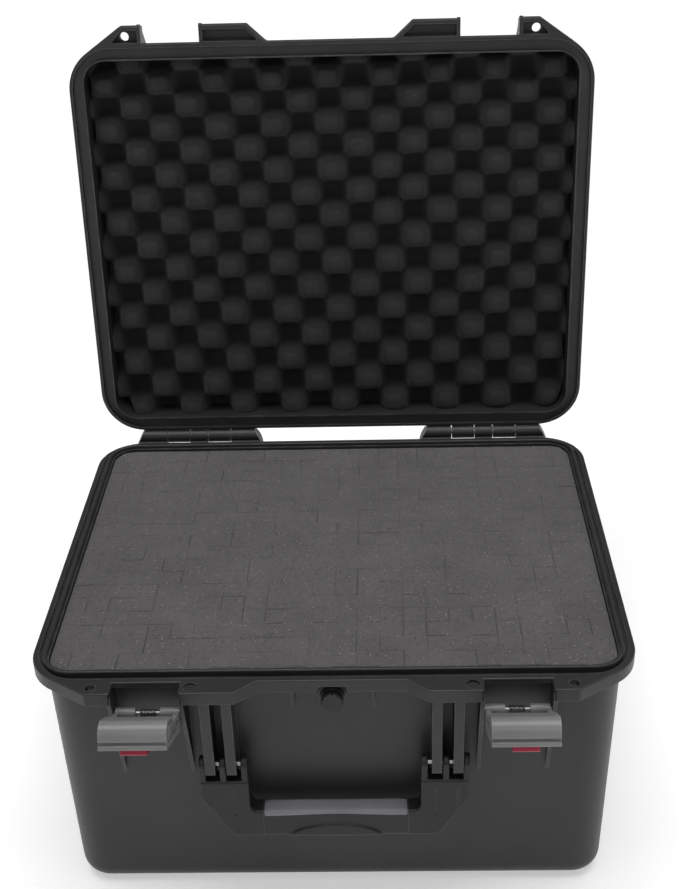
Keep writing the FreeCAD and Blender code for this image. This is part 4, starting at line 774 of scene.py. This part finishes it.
def grip_body_rings(stations, around):
    """Rings of the hard part: the bar's outline, pushed forward inside half an ellipse that stands on
    the lower edge. The push is a smooth step 3t^2 - 2t^3 of the distance t inside the ellipse."""
    x = np.linspace(grip_high[0], grip_low[0], stations)[:, None]
    points, normals = on_outline(bar, np.linspace(0, bar[0][-1], around, endpoint=False))
    y, z = points.T
    reach = 1 - np.hypot(x / SWELL_HALF_X, (z - grip_low[2]) / SWELL_HEIGHT)
    step = np.clip(reach / SWELL_EDGE, 0, 1)
    push = SWELL_RISE * step ** 2 * (3 - 2 * step) * np.clip(-normals[:, 0], 0, 1)
    return np.stack(np.broadcast_arrays(x, y - push, z), -1)


grip_body = closed_tube("grip_body", grip_body_rings(stations=120, around=180))
finish_piece(grip_body, handle_plastic, "handle")
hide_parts("handle_grip")
print("grip body:", len(grip_body.data.polygons), "faces")

# %% Grip pad
PAD_FRONT_Z = 101.0 * MM
PAD_BACK_Z = 88.0 * MM
PAD_ARCH = 1.6 * MM
PAD_END_ROUND = 3.0 * MM
PAD_TUCK = 0.3 * MM
PAD_SINK = 1.0 * MM


def grip_pad_rings(stations, around):
    """Rings of the soft strip. Its front edge arches up by cos^2 of x, and both edges curl in as a
    quarter circle at the ends. With s from -1 at the front edge to 1 at the back one, it stands
    proud by its rise, which falls by s^8 across and by (x / half)^24 along to a tuck below the bar's
    surface; the return run lies a little deeper."""
    half = grip_high[0]
    x = half * np.sin(np.linspace(math.pi / 2, -math.pi / 2, stations))
    over = np.clip(np.abs(x) - (half - PAD_END_ROUND), 0, PAD_END_ROUND)
    curl = PAD_END_ROUND - np.sqrt(PAD_END_ROUND ** 2 - over ** 2)
    front_z = PAD_FRONT_Z + PAD_ARCH * np.cos(np.pi * x / (2 * half)) ** 2 + curl
    start = bar[0][QUARTER - 1] + front_z - (grip_low[2] + BAR_ROUND)
    stop = bar[0][3 * QUARTER - 1] + BAR_TOP - BAR_ROUND - (PAD_BACK_Z + curl)
    s = np.linspace(-1, 1, around)
    points, normals = on_outline(bar, start[:, None] + (stop - start)[:, None] * (s + 1) / 2)
    fall = np.maximum(s ** 8, (x[:, None] / half) ** 24)
    outer = points + (PAD_RISE - (PAD_RISE + PAD_TUCK) * fall)[..., None] * normals
    loop = np.concatenate([outer, (points - PAD_SINK * normals)[:, ::-1]], 1)
    return np.concatenate([np.broadcast_to(x[:, None, None], loop.shape[:2] + (1,)), loop], -1)


grip_pad = closed_tube("grip_pad", grip_pad_rings(stations=110, around=48))
finish_piece(grip_pad, grip_rubber, "handle")
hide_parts("handle_grip")
print("grip pad:", len(grip_pad.data.polygons), "faces, standing", round(PAD_RISE / MM, 1), "mm proud")

# %% [markdown]
# ## Coil springs
# Each latch is thrown open by a torsion spring on its pin, and each trigger is pushed out by a
# smaller one. Both are spring steel wire wound cold, with close end coils. A spring could be a
# curve with a round bevel, but a ring carried along a helix gives exact ends and even quads.

# %% Coil springs
LATCH_WIRE, TRIGGER_WIRE = 1.1 * MM, 0.8 * MM
STEPS_PER_TURN, WIRE_SIDES = 24, 10
COIL_PITCH_IN_WIRES = 1.35


def coil_rings(centre, length, radius, wire, turns):
    """Rings round a helix about X: the place along X follows the turns, one wire's thickness for each
    end turn and evenly between, and the ring's axes are the way out and tangent x out."""
    turn = np.linspace(0, turns, int(turns * STEPS_PER_TURN))
    ends = (length - wire) / 2
    along = np.interp(turn, [0, 1, turns - 1, turns], [-ends, wire - ends, ends - wire, ends])
    out = np.stack([0 * turn, np.cos(2 * np.pi * turn), np.sin(2 * np.pi * turn)], -1)
    path = np.array(centre) + along[:, None] * [1, 0, 0] + radius * out
    tangent = np.gradient(path, axis=0)
    tangent /= np.linalg.norm(tangent, axis=1, keepdims=True)
    side = np.cross(tangent, out)
    a = np.linspace(0, 2 * np.pi, WIRE_SIDES, endpoint=False)[:, None]
    return path[:, None] + wire / 2 * (np.cos(a) * out[:, None] + np.sin(a) * side[:, None])


for side in SIDES:
    for kind, body, wire in (("latch", "base", LATCH_WIRE), ("trigger", f"latch_{side}", TRIGGER_WIRE)):
        low, high = (np.array(corner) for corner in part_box(f"{kind}_spring_{side}"))
        length, width = high[0] - low[0], high[2] - low[2]
        turns = int(length / (COIL_PITCH_IN_WIRES * wire))
        rings = coil_rings((low + high) / 2, length, (width - wire) / 2, wire, turns)
        spring = closed_tube(f"{kind}_coil_{side}", rings)
        finish_piece(spring, spring_steel, body, sharp_angle=80.0)
        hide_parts(f"{kind}_spring_{side}")
        print(spring.name, turns, "turns of", round(wire / MM, 1), "mm wire")
